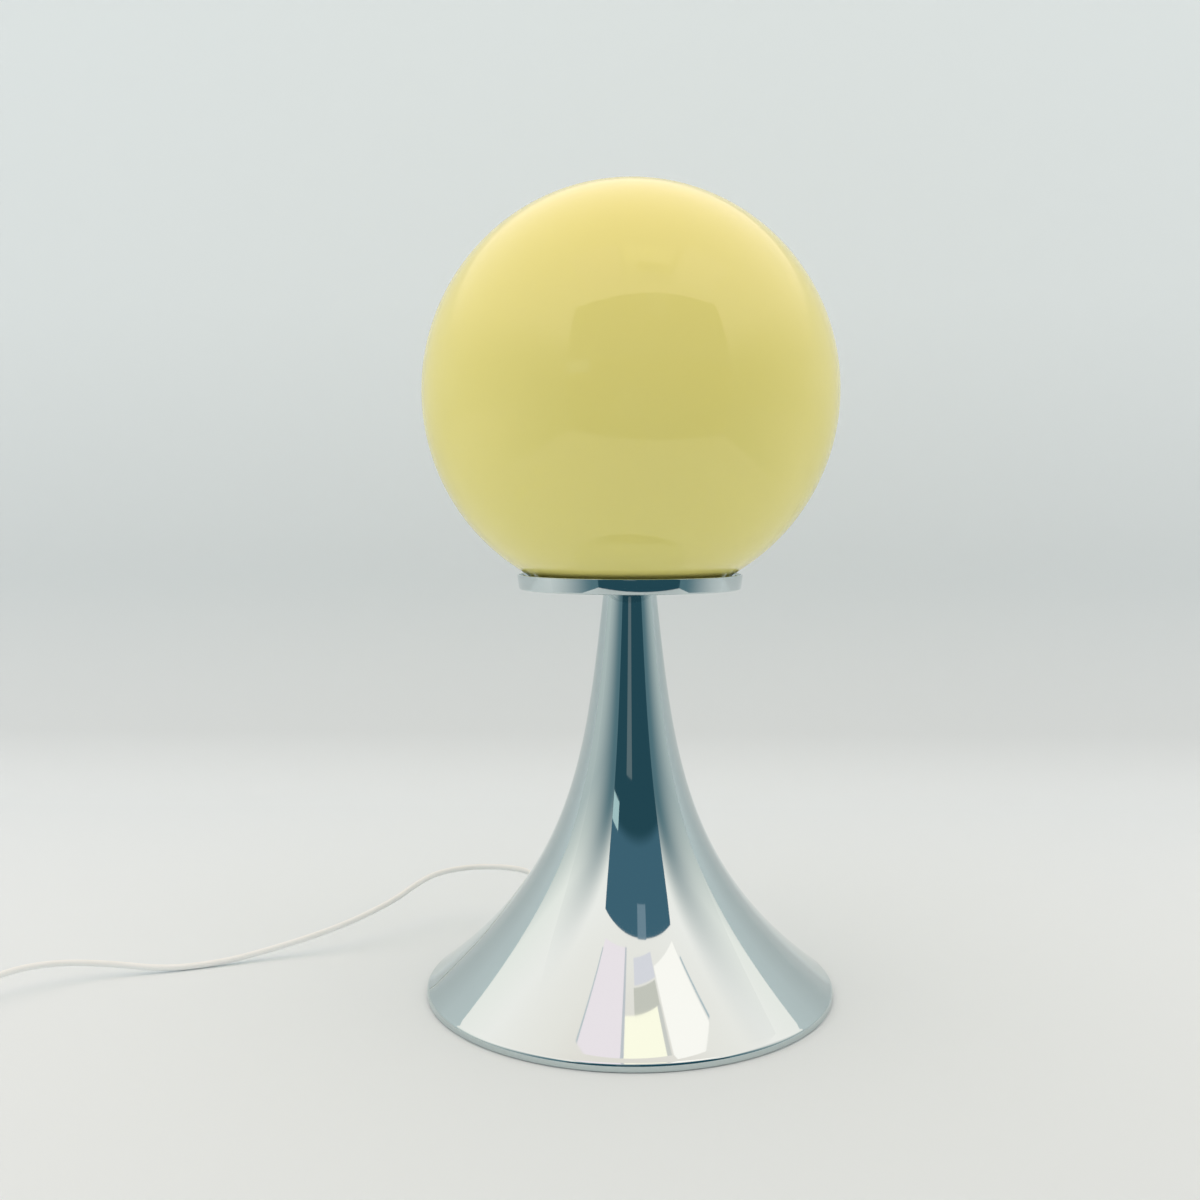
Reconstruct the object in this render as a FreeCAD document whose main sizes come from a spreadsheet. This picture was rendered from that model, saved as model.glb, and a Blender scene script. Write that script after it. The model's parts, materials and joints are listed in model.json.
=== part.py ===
import FreeCAD, Part
import math
import os
import re
import Sketcher

# Glass globe table lamp: a chrome trumpet stand, a shallow chrome dish and an opal glass globe.
# The lamp's axis is Z and the floor is Z = 0. The front faces -Y and the cord leaves at the back.
# Lengths are in millimetres.

SIZES = [
    # trumpet stand, outside
    ("base_radius", "124.7", "outside radius of the lip"),
    ("lip_clearance", "0.5", "height of the lip's edge over the floor"),
    ("lip_height", "3.2", "top of the upright part of the lip"),
    ("lip_run", "1.4", "inward run of the bend from the lip into the flare"),
    ("lip_rise", "2", "rise of the bend from the lip into the flare"),
    ("flare_pull_radius", "33.2", "radius of the flare's curve handle"),
    ("flare_pull_height", "75.4", "height of the flare's curve handle"),
    ("neck_pull_radius", "27.3", "radius of the neck's curve handle"),
    ("neck_pull_height", "143.6", "height of the neck's curve handle"),
    ("neck_radius", "15.9", "outside radius of the neck's top"),
    ("trumpet_height", "247", "height of the neck's top, where the dish sits"),
    ("trumpet_wall", "1.2", "sheet thickness of the trumpet"),
    # dish
    ("dish_foot_radius", "67.5", "outside radius of the dish at its floor"),
    ("dish_rim_radius", "68.5", "outside radius of the dish at its rim"),
    ("dish_depth", "9", "height of the dish"),
    ("dish_wall", "1.2", "sheet thickness of the dish"),
    ("dish_corner", "1", "outside bend at the dish's foot"),
    ("rim_round", "0.45", "rounding of the dish's rim"),
    ("bead_width", "6", "width of the pressed bead that centres the globe"),
    ("bead_bend", "3.4", "radius of the bead's crown"),
    ("bead_gap", "0.8", "gap between the bead and the globe's mouth"),
    # globe
    ("globe_radius", "125", "outside radius of the globe"),
    ("globe_wall", "3", "thickness of the glass"),
    ("mouth_radius", "46.8", "outside radius of the ground mouth of the globe"),
    # tie tube, nuts and washers
    ("tube_radius", "5", "outside radius of the tie tube"),
    ("tube_wall", "1", "wall of the tie tube"),
    ("tube_hole_gap", "0.2", "radial gap of a clearance hole round the tie tube"),
    ("thread_gap", "0.05", "radial gap of a thread on the tie tube"),
    ("tube_stand", "2.9", "height of the tie tube's lower end"),
    ("tube_entry", "10", "length of the tie tube inside the lampholder"),
    ("slot_height", "30", "height of the cable slot's lower end"),
    ("slot_length", "16", "length of the cable slot"),
    ("slot_gap", "0.8", "gap on each side of the cable in its slot"),
    ("nut_width", "14", "width of a nut across its flats"),
    ("nut_height", "3.5", "height of a nut"),
    ("washer_radius", "9", "radius of a washer"),
    ("washer_height", "0.8", "thickness of a washer"),
    # foot
    ("foot_height", "1", "thickness of the soft foot ring"),
    ("foot_width", "12", "radial width of the foot ring"),
    ("foot_inset", "3", "foot ring's distance from the plate's edge"),
    ("plate_wall", "1.4", "thickness of the bottom plate"),
    ("plate_gap", "0.3", "gap round the bottom plate"),
    ("recess_radius", "14", "radius of the plate's raised centre"),
    ("recess_slope", "3", "run of the raised centre's sloped wall"),
    ("recess_lift", "7.5", "lift of the raised centre"),
    ("ballast_radius", "78", "radius of the ballast"),
    ("ballast_height", "12", "thickness of the ballast"),
    ("ballast_chamfer", "2", "chamfer on the ballast's top edge"),
    ("ballast_boss_radius", "20", "radius of the boss on the ballast"),
    ("ballast_boss_height", "4", "height of the boss on the ballast"),
    ("ballast_gap", "1.6", "gap between the ballast and the raised centre"),
    # lampholder
    ("holder_radius", "19.6", "outside radius of the lampholder"),
    ("holder_wall", "2", "wall of the lampholder's shells"),
    ("holder_collar_radius", "8", "radius of the lampholder's threaded collar"),
    ("holder_collar_height", "3", "height of the collar under the cap"),
    ("holder_cap_height", "18", "height of the lampholder's cap"),
    ("holder_cap_rim", "4", "height of the straight rim of the lampholder's cap"),
    ("core_flange", "2", "thickness of the flange of the ceramic core"),
    ("core_height", "12", "height of the ceramic core"),
    ("core_gap", "0.2", "gap between the ceramic core and the shell"),
    ("shell_height", "36", "height of the lampholder's shell"),
    ("shell_lip", "2.6", "width of the shell's inward lip"),
    ("screwshell_height", "22", "height of the lampholder's screw shell"),
    ("screwshell_wall", "0.5", "sheet thickness of the screw shell"),
    ("screwshell_gap", "0.4", "radial gap round the bulb's cap"),
    ("contact_width", "6", "width of the centre contact"),
    ("contact_sheet", "0.6", "sheet thickness of the centre contact"),
    ("contact_reach", "6", "reach of the centre contact from the axis"),
    ("contact_lift", "3.2", "height of the centre contact"),
    ("terminal_spread", "9", "distance of a terminal screw from the axis"),
    ("terminal_radius", "1.6", "radius of a terminal screw"),
    ("terminal_head", "2.8", "head radius of a terminal screw"),
    ("terminal_head_height", "2", "height of a terminal screw's head"),
    ("terminal_depth", "6", "depth of a terminal screw in the ceramic core"),
    ("terminal_drop", "4", "reach of a terminal screw under the ceramic core"),
    # bulb
    ("bulb_radius", "30", "radius of the bulb's globe"),
    ("bulb_length", "110", "length of the bulb with its cap"),
    ("bulb_wall", "1.4", "wall of the bulb's globe"),
    ("bulb_seam_radius", "22.4", "radius of the seam under the bulb's globe"),
    ("bulb_cap_radius", "13.1", "radius of the bulb's screw cap"),
    ("bulb_cap_height", "22", "height of the bulb's screw cap"),
    ("bulb_cap_wall", "0.5", "sheet thickness of the bulb's screw cap"),
    ("bulb_tip_radius", "4.8", "radius of the bulb's centre tip"),
    ("bulb_tip_height", "1.5", "height of the bulb's centre tip"),
    ("bulb_glass_height", "3", "height of the dark insulator under the cap"),
    ("bulb_glass_radius", "9.5", "radius of the insulator where it meets the cap"),
    ("bulb_gap", "0.2", "gap between the bulb's tip and the centre contact"),
    # cord and gland
    ("cord_diameter", "4", "outside diameter of the cord"),
    ("gland_height", "11.5", "height of the cord hole in the flare"),
    ("gland_stem_radius", "4.2", "radius of the gland in its hole"),
    ("gland_hole_gap", "0.1", "radial gap round the gland's stem"),
    ("gland_collar_radius", "6", "radius of the gland's outer collar"),
    ("gland_collar_height", "1.6", "height of the gland's outer collar"),
    ("gland_lock_radius", "5.2", "radius of the gland's inner collar"),
    ("gland_lock_height", "2.2", "height of the gland's inner collar"),
    ("gland_seat_gap", "0.25", "gap between the gland's collars and the sheet"),
    ("gland_tail", "18", "length of the gland's tapered tail"),
    ("gland_tail_radius", "2.9", "radius of the tail's end"),
    ("cord_fit_gap", "0.08", "radial gap round the cord in the gland"),
    ("core_wire_diameter", "1.7", "outside diameter of an insulated core"),
    ("winding_gap", "0.6", "gap between the turns of the coil"),
    ("coil_radius", "33", "radius of the coil at its outer turn"),
    ("coil_turns", "4", "turns of the coil in one layer"),
    # inline switch
    ("switch_length", "62", "length of the inline switch"),
    ("switch_width", "25", "width of the inline switch at its middle"),
    ("switch_end_width", "12", "width of the inline switch at its ends"),
    ("switch_half", "8", "height of each half of the inline switch"),
    ("switch_round", "2.5", "rounding of the inline switch's outer edges"),
    ("cord_entry", "8", "reach of the cord into the switch and the plug"),
    ("entry_room", "2", "room past the cord's end in its channel"),
    ("rocker_length", "19.4", "swing diameter of the rocker"),
    ("rocker_width", "11.4", "width of the rocker"),
    ("rocker_gap", "0.3", "gap round the rocker"),
    ("room_end_gap", "5", "room beyond each end of the rocker inside the switch"),
    ("rocker_pivot", "12.2", "height of the rocker's pivot over the switch's foot"),
    ("rocker_pin_radius", "1.2", "radius of the rocker's pins"),
    ("rocker_pin_reach", "1.5", "reach of the rocker's pins"),
    ("rocker_pin_gap", "0.05", "radial gap round the rocker's pins"),
    ("rocker_tilt", "8", "tilt of the rocker at either stop, in degrees"),
    ("rocker_face_angle", "32", "angle of the rocker's face edges over its pivot, in degrees"),
    ("rocker_skirt_angle", "25", "angle of the rocker's skirt edges under its pivot, in degrees"),
    ("rocker_dip", "1.2", "depth of the rocker's dished face"),
    ("screw_spread", "22", "distance of a switch screw from the middle"),
    ("screw_radius", "1.3", "radius of a switch screw"),
    ("screw_head", "2.6", "head radius of a switch screw"),
    ("screw_gap", "0.2", "radial gap round a switch screw"),
    ("screw_head_height", "1.6", "height of a switch screw's head"),
    ("screw_head_depth", "0.8", "depth at which a switch screw's head lies"),
    ("screw_grip", "5", "reach of a switch screw into the cover"),
    ("screw_tip_room", "0.5", "room past a switch screw's tip"),
    # plug
    ("plug_width", "35.3", "width of the plug at its face"),
    ("plug_back_width", "15", "width of the plug at its back"),
    ("plug_height", "13.7", "thickness of the plug"),
    ("plug_length", "36", "length of the plug's body"),
    ("plug_round", "3", "rounding of the plug's edges"),
    ("boot_length", "22", "length of the plug's tapered boot"),
    ("boot_radius", "5", "radius of the boot where it leaves the plug"),
    ("boot_end_radius", "3", "radius of the boot's end"),
    ("pin_spacing", "19", "distance between the plug's pins"),
    ("pin_radius", "2", "radius of a plug pin"),
    ("pin_length", "19", "length of a plug pin"),
    ("pin_root", "8", "length of a pin inside the plug"),
    ("pin_neck_radius", "1.5", "radius of a pin inside its sleeve"),
    ("sleeve_length", "10", "length of a pin's insulating sleeve"),
    ("sleeve_radius", "1.9", "radius of a pin's insulating sleeve"),
]

document = FreeCAD.newDocument("GlassGlobeTableLamp")
sheet = document.addObject("Spreadsheet::Sheet", "Sizes")
for row, (alias, amount, meaning) in enumerate(SIZES, start=1):
    sheet.set(f"A{row}", alias)
    sheet.set(f"B{row}", amount)
    sheet.set(f"C{row}", meaning)
    sheet.setAlias(f"B{row}", alias)
document.recompute()

PARTS = []


def bound(text):
    """Spell a size by its cell in the sheet."""
    return re.sub(r"[a-z]+(?:_[a-z]+)+", lambda word: "Sizes." + word.group(0), text)


def number(text):
    """Work out a size or a sum of sizes."""
    return float(sheet.evalExpression(bound(text)))


def keep(item, label):
    """Name a finished piece and list it."""
    item.Label = label
    PARTS.append(item)
    return item


# ---------------------------------------------------------------- sketches

def tie(sketch, geometry, position, across, up):
    """Hold one point of a sketch at its named place."""
    for kind, axis, text in (("DistanceX", -2, across), ("DistanceY", -1, up)):
        if abs(number(text)) < 1e-9:
            sketch.addConstraint(Sketcher.Constraint("PointOnObject", geometry, position, axis))
        else:
            held = Sketcher.Constraint(kind, -1, 1, geometry, position, number(text))
            index = sketch.addConstraint(held)
            sketch.setExpression(f"Constraints[{index}]", bound(text))


def arc_between(start, end, radius, side):
    """Lay the short arc from start to end with its centre left (+1) or right (-1) of the way."""
    chord = end - start
    left = FreeCAD.Vector(-chord.y, chord.x, 0) / chord.Length
    height = math.sqrt(max(radius ** 2 - (chord.Length / 2) ** 2, 0))
    centre = (start + end) / 2 + left * (side * height)
    first = math.atan2(start.y - centre.y, start.x - centre.x)
    last = math.atan2(end.y - centre.y, end.x - centre.x)
    if side < 0:
        first, last = last, first
    circle = Part.Circle(centre, FreeCAD.Vector(0, 0, 1), radius)
    return Part.ArcOfCircle(circle, first, last)


def draw(sketch, corners):
    """Draw a closed outline; each corner is (across, up) and may name the edge that follows it."""
    points = [FreeCAD.Vector(number(corner[0]), number(corner[1]), 0) for corner in corners]
    ends = []
    for place, corner in enumerate(corners):
        start = points[place]
        end = points[(place + 1) % len(points)]
        edge = corner[2] if len(corner) > 2 else ("line",)
        if edge[0] == "line":
            geometry = sketch.addGeometry(Part.LineSegment(start, end), False)
            ends.append((geometry, 1, 2))
        elif edge[0] == "arc":
            arc = arc_between(start, end, number(edge[1]), edge[2])
            geometry = sketch.addGeometry(arc, False)
            held = sketch.addConstraint(Sketcher.Constraint("Radius", geometry, number(edge[1])))
            sketch.setExpression(f"Constraints[{held}]", bound(edge[1]))
            ends.append((geometry, 1, 2) if edge[2] > 0 else (geometry, 2, 1))
        else:
            handles = [FreeCAD.Vector(number(x), number(y), 0) for x, y in edge[1:]]
            curve = Part.BSplineCurve()
            poles = [start] + handles + [end]
            curve.buildFromPolesMultsKnots(poles, [4, 4], [0, 1], False, 3)
            geometry = sketch.addGeometry(curve, False)
            sketch.exposeInternalGeometry(geometry)
            for step, (x, y) in enumerate(edge[1:], start=2):
                tie(sketch, geometry + step, 3, x, y)
            ends.append((geometry, 1, 2))
    for place, (geometry, first, last) in enumerate(ends):
        following = ends[(place + 1) % len(ends)]
        join = Sketcher.Constraint("Coincident", geometry, last, following[0], following[1])
        sketch.addConstraint(join)
        tie(sketch, geometry, first, corners[place][0], corners[place][1])


def new_body(label):
    """Start a piece that is built from sketches."""
    return keep(document.addObject("PartDesign::Body", label), label)


def new_sketch(body, name, role, offset="0"):
    """Start a sketch on one of the piece's own planes, lifted by an offset."""
    sketch = body.newObject("Sketcher::SketchObject", name)
    plane = [item for item in body.Origin.OriginFeatures if item.Role == role][0]
    sketch.AttachmentSupport = [(plane, "")]
    sketch.MapMode = "FlatFace"
    if offset != "0":
        sketch.AttachmentOffset = FreeCAD.Placement(
            FreeCAD.Vector(0, 0, number(offset)), FreeCAD.Rotation())
        sketch.setExpression("AttachmentOffset.Base.z", bound(offset))
    return sketch


def turned(label, corners, rounds=()):
    """Turn an outline about the piece's upright axis and round the named ring edges."""
    body = new_body(label)
    sketch = new_sketch(body, label + "_outline", "XZ_Plane")
    draw(sketch, corners)
    turn = body.newObject("PartDesign::Revolution", label + "_turn")
    turn.Profile = sketch
    turn.ReferenceAxis = (sketch, ["V_Axis"])
    turn.Angle = 360
    document.recompute()
    feature = turn
    for step, (radius, height, size) in enumerate(rounds):
        names = ring_edges(feature.Shape, number(radius), number(height))
        feature = round_edges(body, feature, f"{label}_round{step}", names, size)
    return body


def ring_edges(shape, radius, height):
    """Find the level ring edges of a radius at a height."""
    names = []
    for place, edge in enumerate(shape.Edges, start=1):
        if isinstance(edge.Curve, Part.Circle):
            level = abs(edge.Curve.Center.z - height) < 1e-3 and abs(edge.Curve.Axis.z) > 0.99
            if level and abs(edge.Curve.Radius - radius) < 1e-3:
                names.append(f"Edge{place}")
    return names


def upright_edges(shape):
    """Find the straight upright edges."""
    names = []
    for place, edge in enumerate(shape.Edges, start=1):
        if isinstance(edge.Curve, Part.Line) and abs(edge.Curve.Direction.z) > 0.99:
            names.append(f"Edge{place}")
    return names


def level_edges(shape, height):
    """Find all edges that lie at a height."""
    names = []
    for place, edge in enumerate(shape.Edges, start=1):
        if all(abs(vertex.Z - height) < 1e-4 for vertex in edge.Vertexes):
            names.append(f"Edge{place}")
    return names


def round_edges(body, feature, name, names, size):
    """Round the named edges of a feature."""
    fillet = body.newObject("PartDesign::Fillet", name)
    fillet.Base = (feature, names)
    fillet.Radius = number(size)
    fillet.setExpression("Radius", bound(size))
    document.recompute()
    return fillet


def pad(body, name, sketch, length):
    """Raise a sketch by a length."""
    feature = body.newObject("PartDesign::Pad", name)
    feature.Profile = sketch
    feature.Length = number(length)
    feature.setExpression("Length", bound(length))
    document.recompute()
    return feature


def pocket(body, name, sketch, depth):
    """Cut a sketch downwards by a depth, and make sure that it cuts."""
    before = body.Shape.Volume
    feature = body.newObject("PartDesign::Pocket", name)
    feature.Profile = sketch
    feature.Length = number(depth)
    feature.setExpression("Length", bound(depth))
    document.recompute()
    if feature.Shape.Volume > before - 1e-3:
        feature.Reversed = True
        document.recompute()
    return feature


def place_at(item, place, turn=None):
    """Put a primitive at a named place, upright unless a turn is given."""
    spot = FreeCAD.Vector(*[number(text) for text in place])
    item.Placement = FreeCAD.Placement(spot, turn or FreeCAD.Rotation())
    for axis, text in zip("xyz", place):
        item.setExpression(f"Placement.Base.{axis}", bound(text))


def rod(kind, name, radius, height, place, turn=None, body=None):
    """Make a cylinder, either on its own or as a feature of a piece."""
    item = body.newObject(kind, name) if body else document.addObject(kind, name)
    item.Radius = number(radius)
    item.setExpression("Radius", bound(radius))
    item.Height = number(height)
    item.setExpression("Height", bound(height))
    place_at(item, place, turn)
    return item


ALONG_X = FreeCAD.Rotation(FreeCAD.Vector(0, 1, 0), 90)
ALONG_Y = FreeCAD.Rotation(FreeCAD.Vector(1, 0, 0), -90)

# ---------------------------------------------------------------- levels along the axis

PLATE_TOP = "(foot_height + plate_wall)"
RECESS_TOP = f"({PLATE_TOP} + recess_lift)"
BALLAST_TOP = f"({PLATE_TOP} + ballast_height)"
BOSS_TOP = f"({BALLAST_TOP} + ballast_boss_height)"
TRUMPET_ROOF = "(trumpet_height - trumpet_wall)"
SEAT = "(trumpet_height + dish_wall)"
GLOBE_CENTRE = f"({SEAT} + sqrt(globe_radius^2 - mouth_radius^2))"
MOUTH_INSIDE = "sqrt((globe_radius - globe_wall)^2 - globe_radius^2 + mouth_radius^2)"
HOLDER = f"({SEAT} + washer_height + nut_height)"
CORE_FLOOR = f"({HOLDER} + holder_cap_height)"
CORE_TOP = f"({CORE_FLOOR} + core_height)"
BULB = f"({CORE_TOP} + contact_lift + bulb_gap)"
BULB_CAP_FLOOR = f"({BULB} + bulb_tip_height + bulb_glass_height)"
BULB_CENTRE = f"({BULB} + bulb_length - bulb_radius)"
BULB_SEAM = f"({BULB_CENTRE} - sqrt(bulb_radius^2 - bulb_seam_radius^2))"
TUBE_TOP = f"({HOLDER} + tube_entry)"
TUBE_HOLE = "(tube_radius + tube_hole_gap)"
THREAD = "(tube_radius + thread_gap)"
INSIDE_LIP = "(base_radius - trumpet_wall)"
FLARE_OUT = "(base_radius - lip_run)"
FLARE_UP = "(lip_height + lip_rise)"

# ---------------------------------------------------------------- cord's exit through the flare

EXIT_BEARING = math.radians(120)
EXIT_SIDE = FreeCAD.Vector(math.cos(EXIT_BEARING), math.sin(EXIT_BEARING), 0)
UP = FreeCAD.Vector(0, 0, 1)


def flare_point(height):
    """Find the flare's radius at a height and its outward direction there."""
    radii = [number(text) for text in (FLARE_OUT, "flare_pull_radius", "neck_pull_radius", "neck_radius")]
    heights = [number(text) for text in (FLARE_UP, "flare_pull_height", "neck_pull_height", "trumpet_height")]
    low = 0.0
    high = 1.0
    for halving in range(50):
        middle = (low + high) / 2
        rest = 1 - middle
        share = (rest ** 3, 3 * rest ** 2 * middle, 3 * rest * middle ** 2, middle ** 3)
        if sum(part * level for part, level in zip(share, heights)) < height:
            low = middle
        else:
            high = middle
    radius = sum(part * reach for part, reach in zip(share, radii))
    slope = (rest ** 2, 2 * rest * middle, middle ** 2)
    run = sum(part * (radii[i + 1] - radii[i]) for i, part in enumerate(slope))
    rise = sum(part * (heights[i + 1] - heights[i]) for i, part in enumerate(slope))
    length = math.hypot(run, rise)
    return radius, rise / length, -run / length


flare_reach, outward, upward = flare_point(number("gland_height"))
EXIT = EXIT_SIDE * flare_reach + UP * number("gland_height")
EXIT_WAY = EXIT_SIDE * outward + UP * upward
EXIT_TURN = FreeCAD.Rotation(UP, EXIT_WAY)

# ---------------------------------------------------------------- trumpet stand

FLARE_RUN = f"({FLARE_OUT} - flare_pull_radius)"
FLARE_RISE = f"(flare_pull_height - {FLARE_UP})"
FLARE_SPAN = f"sqrt({FLARE_RUN}^2 + {FLARE_RISE}^2)"
IN_BY = f"trumpet_wall * {FLARE_RISE} / {FLARE_SPAN}"
DOWN_BY = f"trumpet_wall * {FLARE_RUN} / {FLARE_SPAN}"

trumpet = turned("trumpet_base", [
    (INSIDE_LIP, "lip_clearance"),
    ("base_radius", "lip_clearance"),
    ("base_radius", "lip_height", ("arc", "(lip_run^2 + lip_rise^2) / (2 * lip_run)", 1)),
    (FLARE_OUT, FLARE_UP, (
        "curve",
        ("flare_pull_radius", "flare_pull_height"),
        ("neck_pull_radius", "neck_pull_height"))),
    ("neck_radius", "trumpet_height"),
    (TUBE_HOLE, "trumpet_height"),
    (TUBE_HOLE, TRUMPET_ROOF),
    ("neck_radius - trumpet_wall", TRUMPET_ROOF, (
        "curve",
        ("neck_pull_radius - trumpet_wall", "neck_pull_height"),
        (f"flare_pull_radius - {IN_BY}", f"flare_pull_height - {DOWN_BY}"))),
    (f"{FLARE_OUT} - {IN_BY}", f"{FLARE_UP} - {DOWN_BY}"),
    (INSIDE_LIP, "lip_height"),
])
gland_hole = trumpet.newObject("PartDesign::SubtractiveCylinder", "gland_hole")
gland_hole.Radius = number("gland_stem_radius + gland_hole_gap")
gland_hole.setExpression("Radius", bound("gland_stem_radius + gland_hole_gap"))
gland_hole.Height = number("6 * trumpet_wall")
gland_hole.setExpression("Height", bound("6 * trumpet_wall"))
gland_hole.Placement = FreeCAD.Placement(EXIT - EXIT_WAY * (3 * number("trumpet_wall")), EXIT_TURN)

# ---------------------------------------------------------------- dish

BEAD_CENTRE = f"({MOUTH_INSIDE} - bead_gap - bead_width / 2)"
BEAD_DROP = "(sqrt(bead_bend^2 - bead_width^2 / 4) - dish_wall)"
BEAD_UNDER = f"sqrt((bead_bend - dish_wall)^2 - {BEAD_DROP}^2)"
DISH_SLOPE = "(dish_rim_radius - dish_foot_radius) / dish_depth"

turned("gallery_dish", [
    (TUBE_HOLE, "trumpet_height"),
    (f"{BEAD_CENTRE} - {BEAD_UNDER}", "trumpet_height", ("arc", "bead_bend - dish_wall", -1)),
    (f"{BEAD_CENTRE} + {BEAD_UNDER}", "trumpet_height"),
    ("dish_foot_radius", "trumpet_height"),
    ("dish_rim_radius", "trumpet_height + dish_depth"),
    ("dish_rim_radius - dish_wall", "trumpet_height + dish_depth"),
    (f"dish_foot_radius - dish_wall + dish_wall * {DISH_SLOPE}", SEAT),
    (f"{BEAD_CENTRE} + bead_width / 2", SEAT, ("arc", "bead_bend", 1)),
    (f"{BEAD_CENTRE} - bead_width / 2", SEAT),
    (TUBE_HOLE, SEAT),
], [
    ("dish_foot_radius", "trumpet_height", "dish_corner"),
    ("dish_rim_radius", "trumpet_height + dish_depth", "rim_round"),
    ("dish_rim_radius - dish_wall", "trumpet_height + dish_depth", "rim_round"),
])

# ---------------------------------------------------------------- globe

turned("glass_globe", [
    (MOUTH_INSIDE, SEAT),
    ("mouth_radius", SEAT, ("arc", "globe_radius", 1)),
    ("0", f"{GLOBE_CENTRE} + globe_radius"),
    ("0", f"{GLOBE_CENTRE} + globe_radius - globe_wall", ("arc", "globe_radius - globe_wall", -1)),
])

# ---------------------------------------------------------------- tie tube, nuts and washers

tube = turned("tie_tube", [
    ("tube_radius - tube_wall", "tube_stand"),
    ("tube_radius", "tube_stand"),
    ("tube_radius", TUBE_TOP),
    ("tube_radius - tube_wall", TUBE_TOP),
])
slot = tube.newObject("PartDesign::SubtractiveBox", "cable_slot")
slot_width = "cord_diameter + 2 * slot_gap"
slot.Length = number("2 * tube_radius")
slot.setExpression("Length", bound("2 * tube_radius"))
slot.Width = number(slot_width)
slot.setExpression("Width", bound(slot_width))
slot.Height = number("slot_length")
slot.setExpression("Height", bound("slot_length"))
slot_side = EXIT_SIDE.cross(UP) * (number(slot_width) / 2)
slot.Placement = FreeCAD.Placement(
    slot_side + UP * number("slot_height"), FreeCAD.Rotation(UP, math.degrees(EXIT_BEARING)))


def holed(label, outside, bore, height):
    """Cut a round bore through an upright blank."""
    through = rod("Part::Cylinder", label + "_bore", bore, height, ("0", "0", "0"))
    item = document.addObject("Part::Cut", label)
    item.Base = outside
    item.Tool = through
    return keep(item, label)


def washer(label, level):
    """Make a flat washer for the tie tube."""
    blank = rod("Part::Cylinder", label + "_blank", "washer_radius", "washer_height", ("0", "0", "0"))
    item = holed(label, blank, TUBE_HOLE, "washer_height")
    place_at(item, ("0", "0", level))


def nut(label, level):
    """Make a hexagon nut for the tie tube."""
    blank = document.addObject("Part::Prism", label + "_blank")
    blank.Polygon = 6
    blank.Circumradius = number("nut_width / sqrt(3)")
    blank.setExpression("Circumradius", bound("nut_width / sqrt(3)"))
    blank.Height = number("nut_height")
    blank.setExpression("Height", bound("nut_height"))
    item = holed(label, blank, THREAD, "nut_height")
    place_at(item, ("0", "0", level))


washer("gallery_washer", SEAT)
nut("gallery_nut", f"{SEAT} + washer_height")
washer("neck_washer", f"{TRUMPET_ROOF} - washer_height")
nut("neck_nut", f"{TRUMPET_ROOF} - washer_height - nut_height")
nut("ballast_nut", BOSS_TOP)
washer("plate_washer", "foot_height + recess_lift - washer_height")
nut("plate_nut", "foot_height + recess_lift - washer_height - nut_height")

# ---------------------------------------------------------------- foot

RECESS_WIDEN = "plate_wall * (sqrt(recess_slope^2 + recess_lift^2) - recess_slope) / recess_lift"
PLATE_EDGE = f"({INSIDE_LIP} - plate_gap)"

turned("bottom_plate", [
    (f"{PLATE_EDGE}", "foot_height"),
    (f"{PLATE_EDGE}", PLATE_TOP),
    (f"recess_radius + recess_slope + {RECESS_WIDEN}", PLATE_TOP),
    (f"recess_radius + {RECESS_WIDEN}", RECESS_TOP),
    (TUBE_HOLE, RECESS_TOP),
    (TUBE_HOLE, "foot_height + recess_lift"),
    ("recess_radius", "foot_height + recess_lift"),
    ("recess_radius + recess_slope", "foot_height"),
])

turned("ballast_disc", [
    ("ballast_boss_radius", PLATE_TOP),
    ("ballast_radius", PLATE_TOP),
    ("ballast_radius", f"{BALLAST_TOP} - ballast_chamfer"),
    ("ballast_radius - ballast_chamfer", BALLAST_TOP),
    ("ballast_boss_radius + ballast_gap", BALLAST_TOP),
    ("ballast_boss_radius", BOSS_TOP),
    (TUBE_HOLE, BOSS_TOP),
    (TUBE_HOLE, RECESS_TOP),
    ("ballast_boss_radius", RECESS_TOP),
])

FOOT_EDGE = f"({PLATE_EDGE} - foot_inset)"
foot_blank = rod("Part::Cylinder", "foot_blank", FOOT_EDGE, "foot_height", ("0", "0", "0"))
holed("foot_ring", foot_blank, f"{FOOT_EDGE} - foot_width", "foot_height")

# ---------------------------------------------------------------- lampholder

DOME_RUN = "(holder_radius - holder_collar_radius)"
DOME_RISE = "(holder_cap_height - holder_cap_rim - holder_collar_height)"
DOME_TOP = f"({HOLDER} + holder_cap_height - holder_cap_rim)"
COLLAR_TOP = f"({HOLDER} + holder_collar_height)"
INNER_RUN = "(holder_radius - holder_wall - holder_collar_radius)"
INNER_RISE = f"({DOME_RISE} - holder_wall)"
SHELL_TOP = f"({CORE_FLOOR} + core_flange + shell_height)"

turned("holder_cap", [
    (THREAD, HOLDER),
    ("holder_collar_radius", HOLDER),
    ("holder_collar_radius", COLLAR_TOP, (
        "arc", f"({DOME_RUN}^2 + {DOME_RISE}^2) / (2 * {DOME_RUN})", 1)),
    ("holder_radius", DOME_TOP),
    ("holder_radius", CORE_FLOOR),
    ("holder_radius - holder_wall", CORE_FLOOR),
    ("holder_radius - holder_wall", DOME_TOP, (
        "arc", f"({INNER_RUN}^2 + {INNER_RISE}^2) / (2 * {INNER_RUN})", -1)),
    ("holder_collar_radius", f"{COLLAR_TOP} + holder_wall"),
    (THREAD, f"{COLLAR_TOP} + holder_wall"),
])

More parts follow.
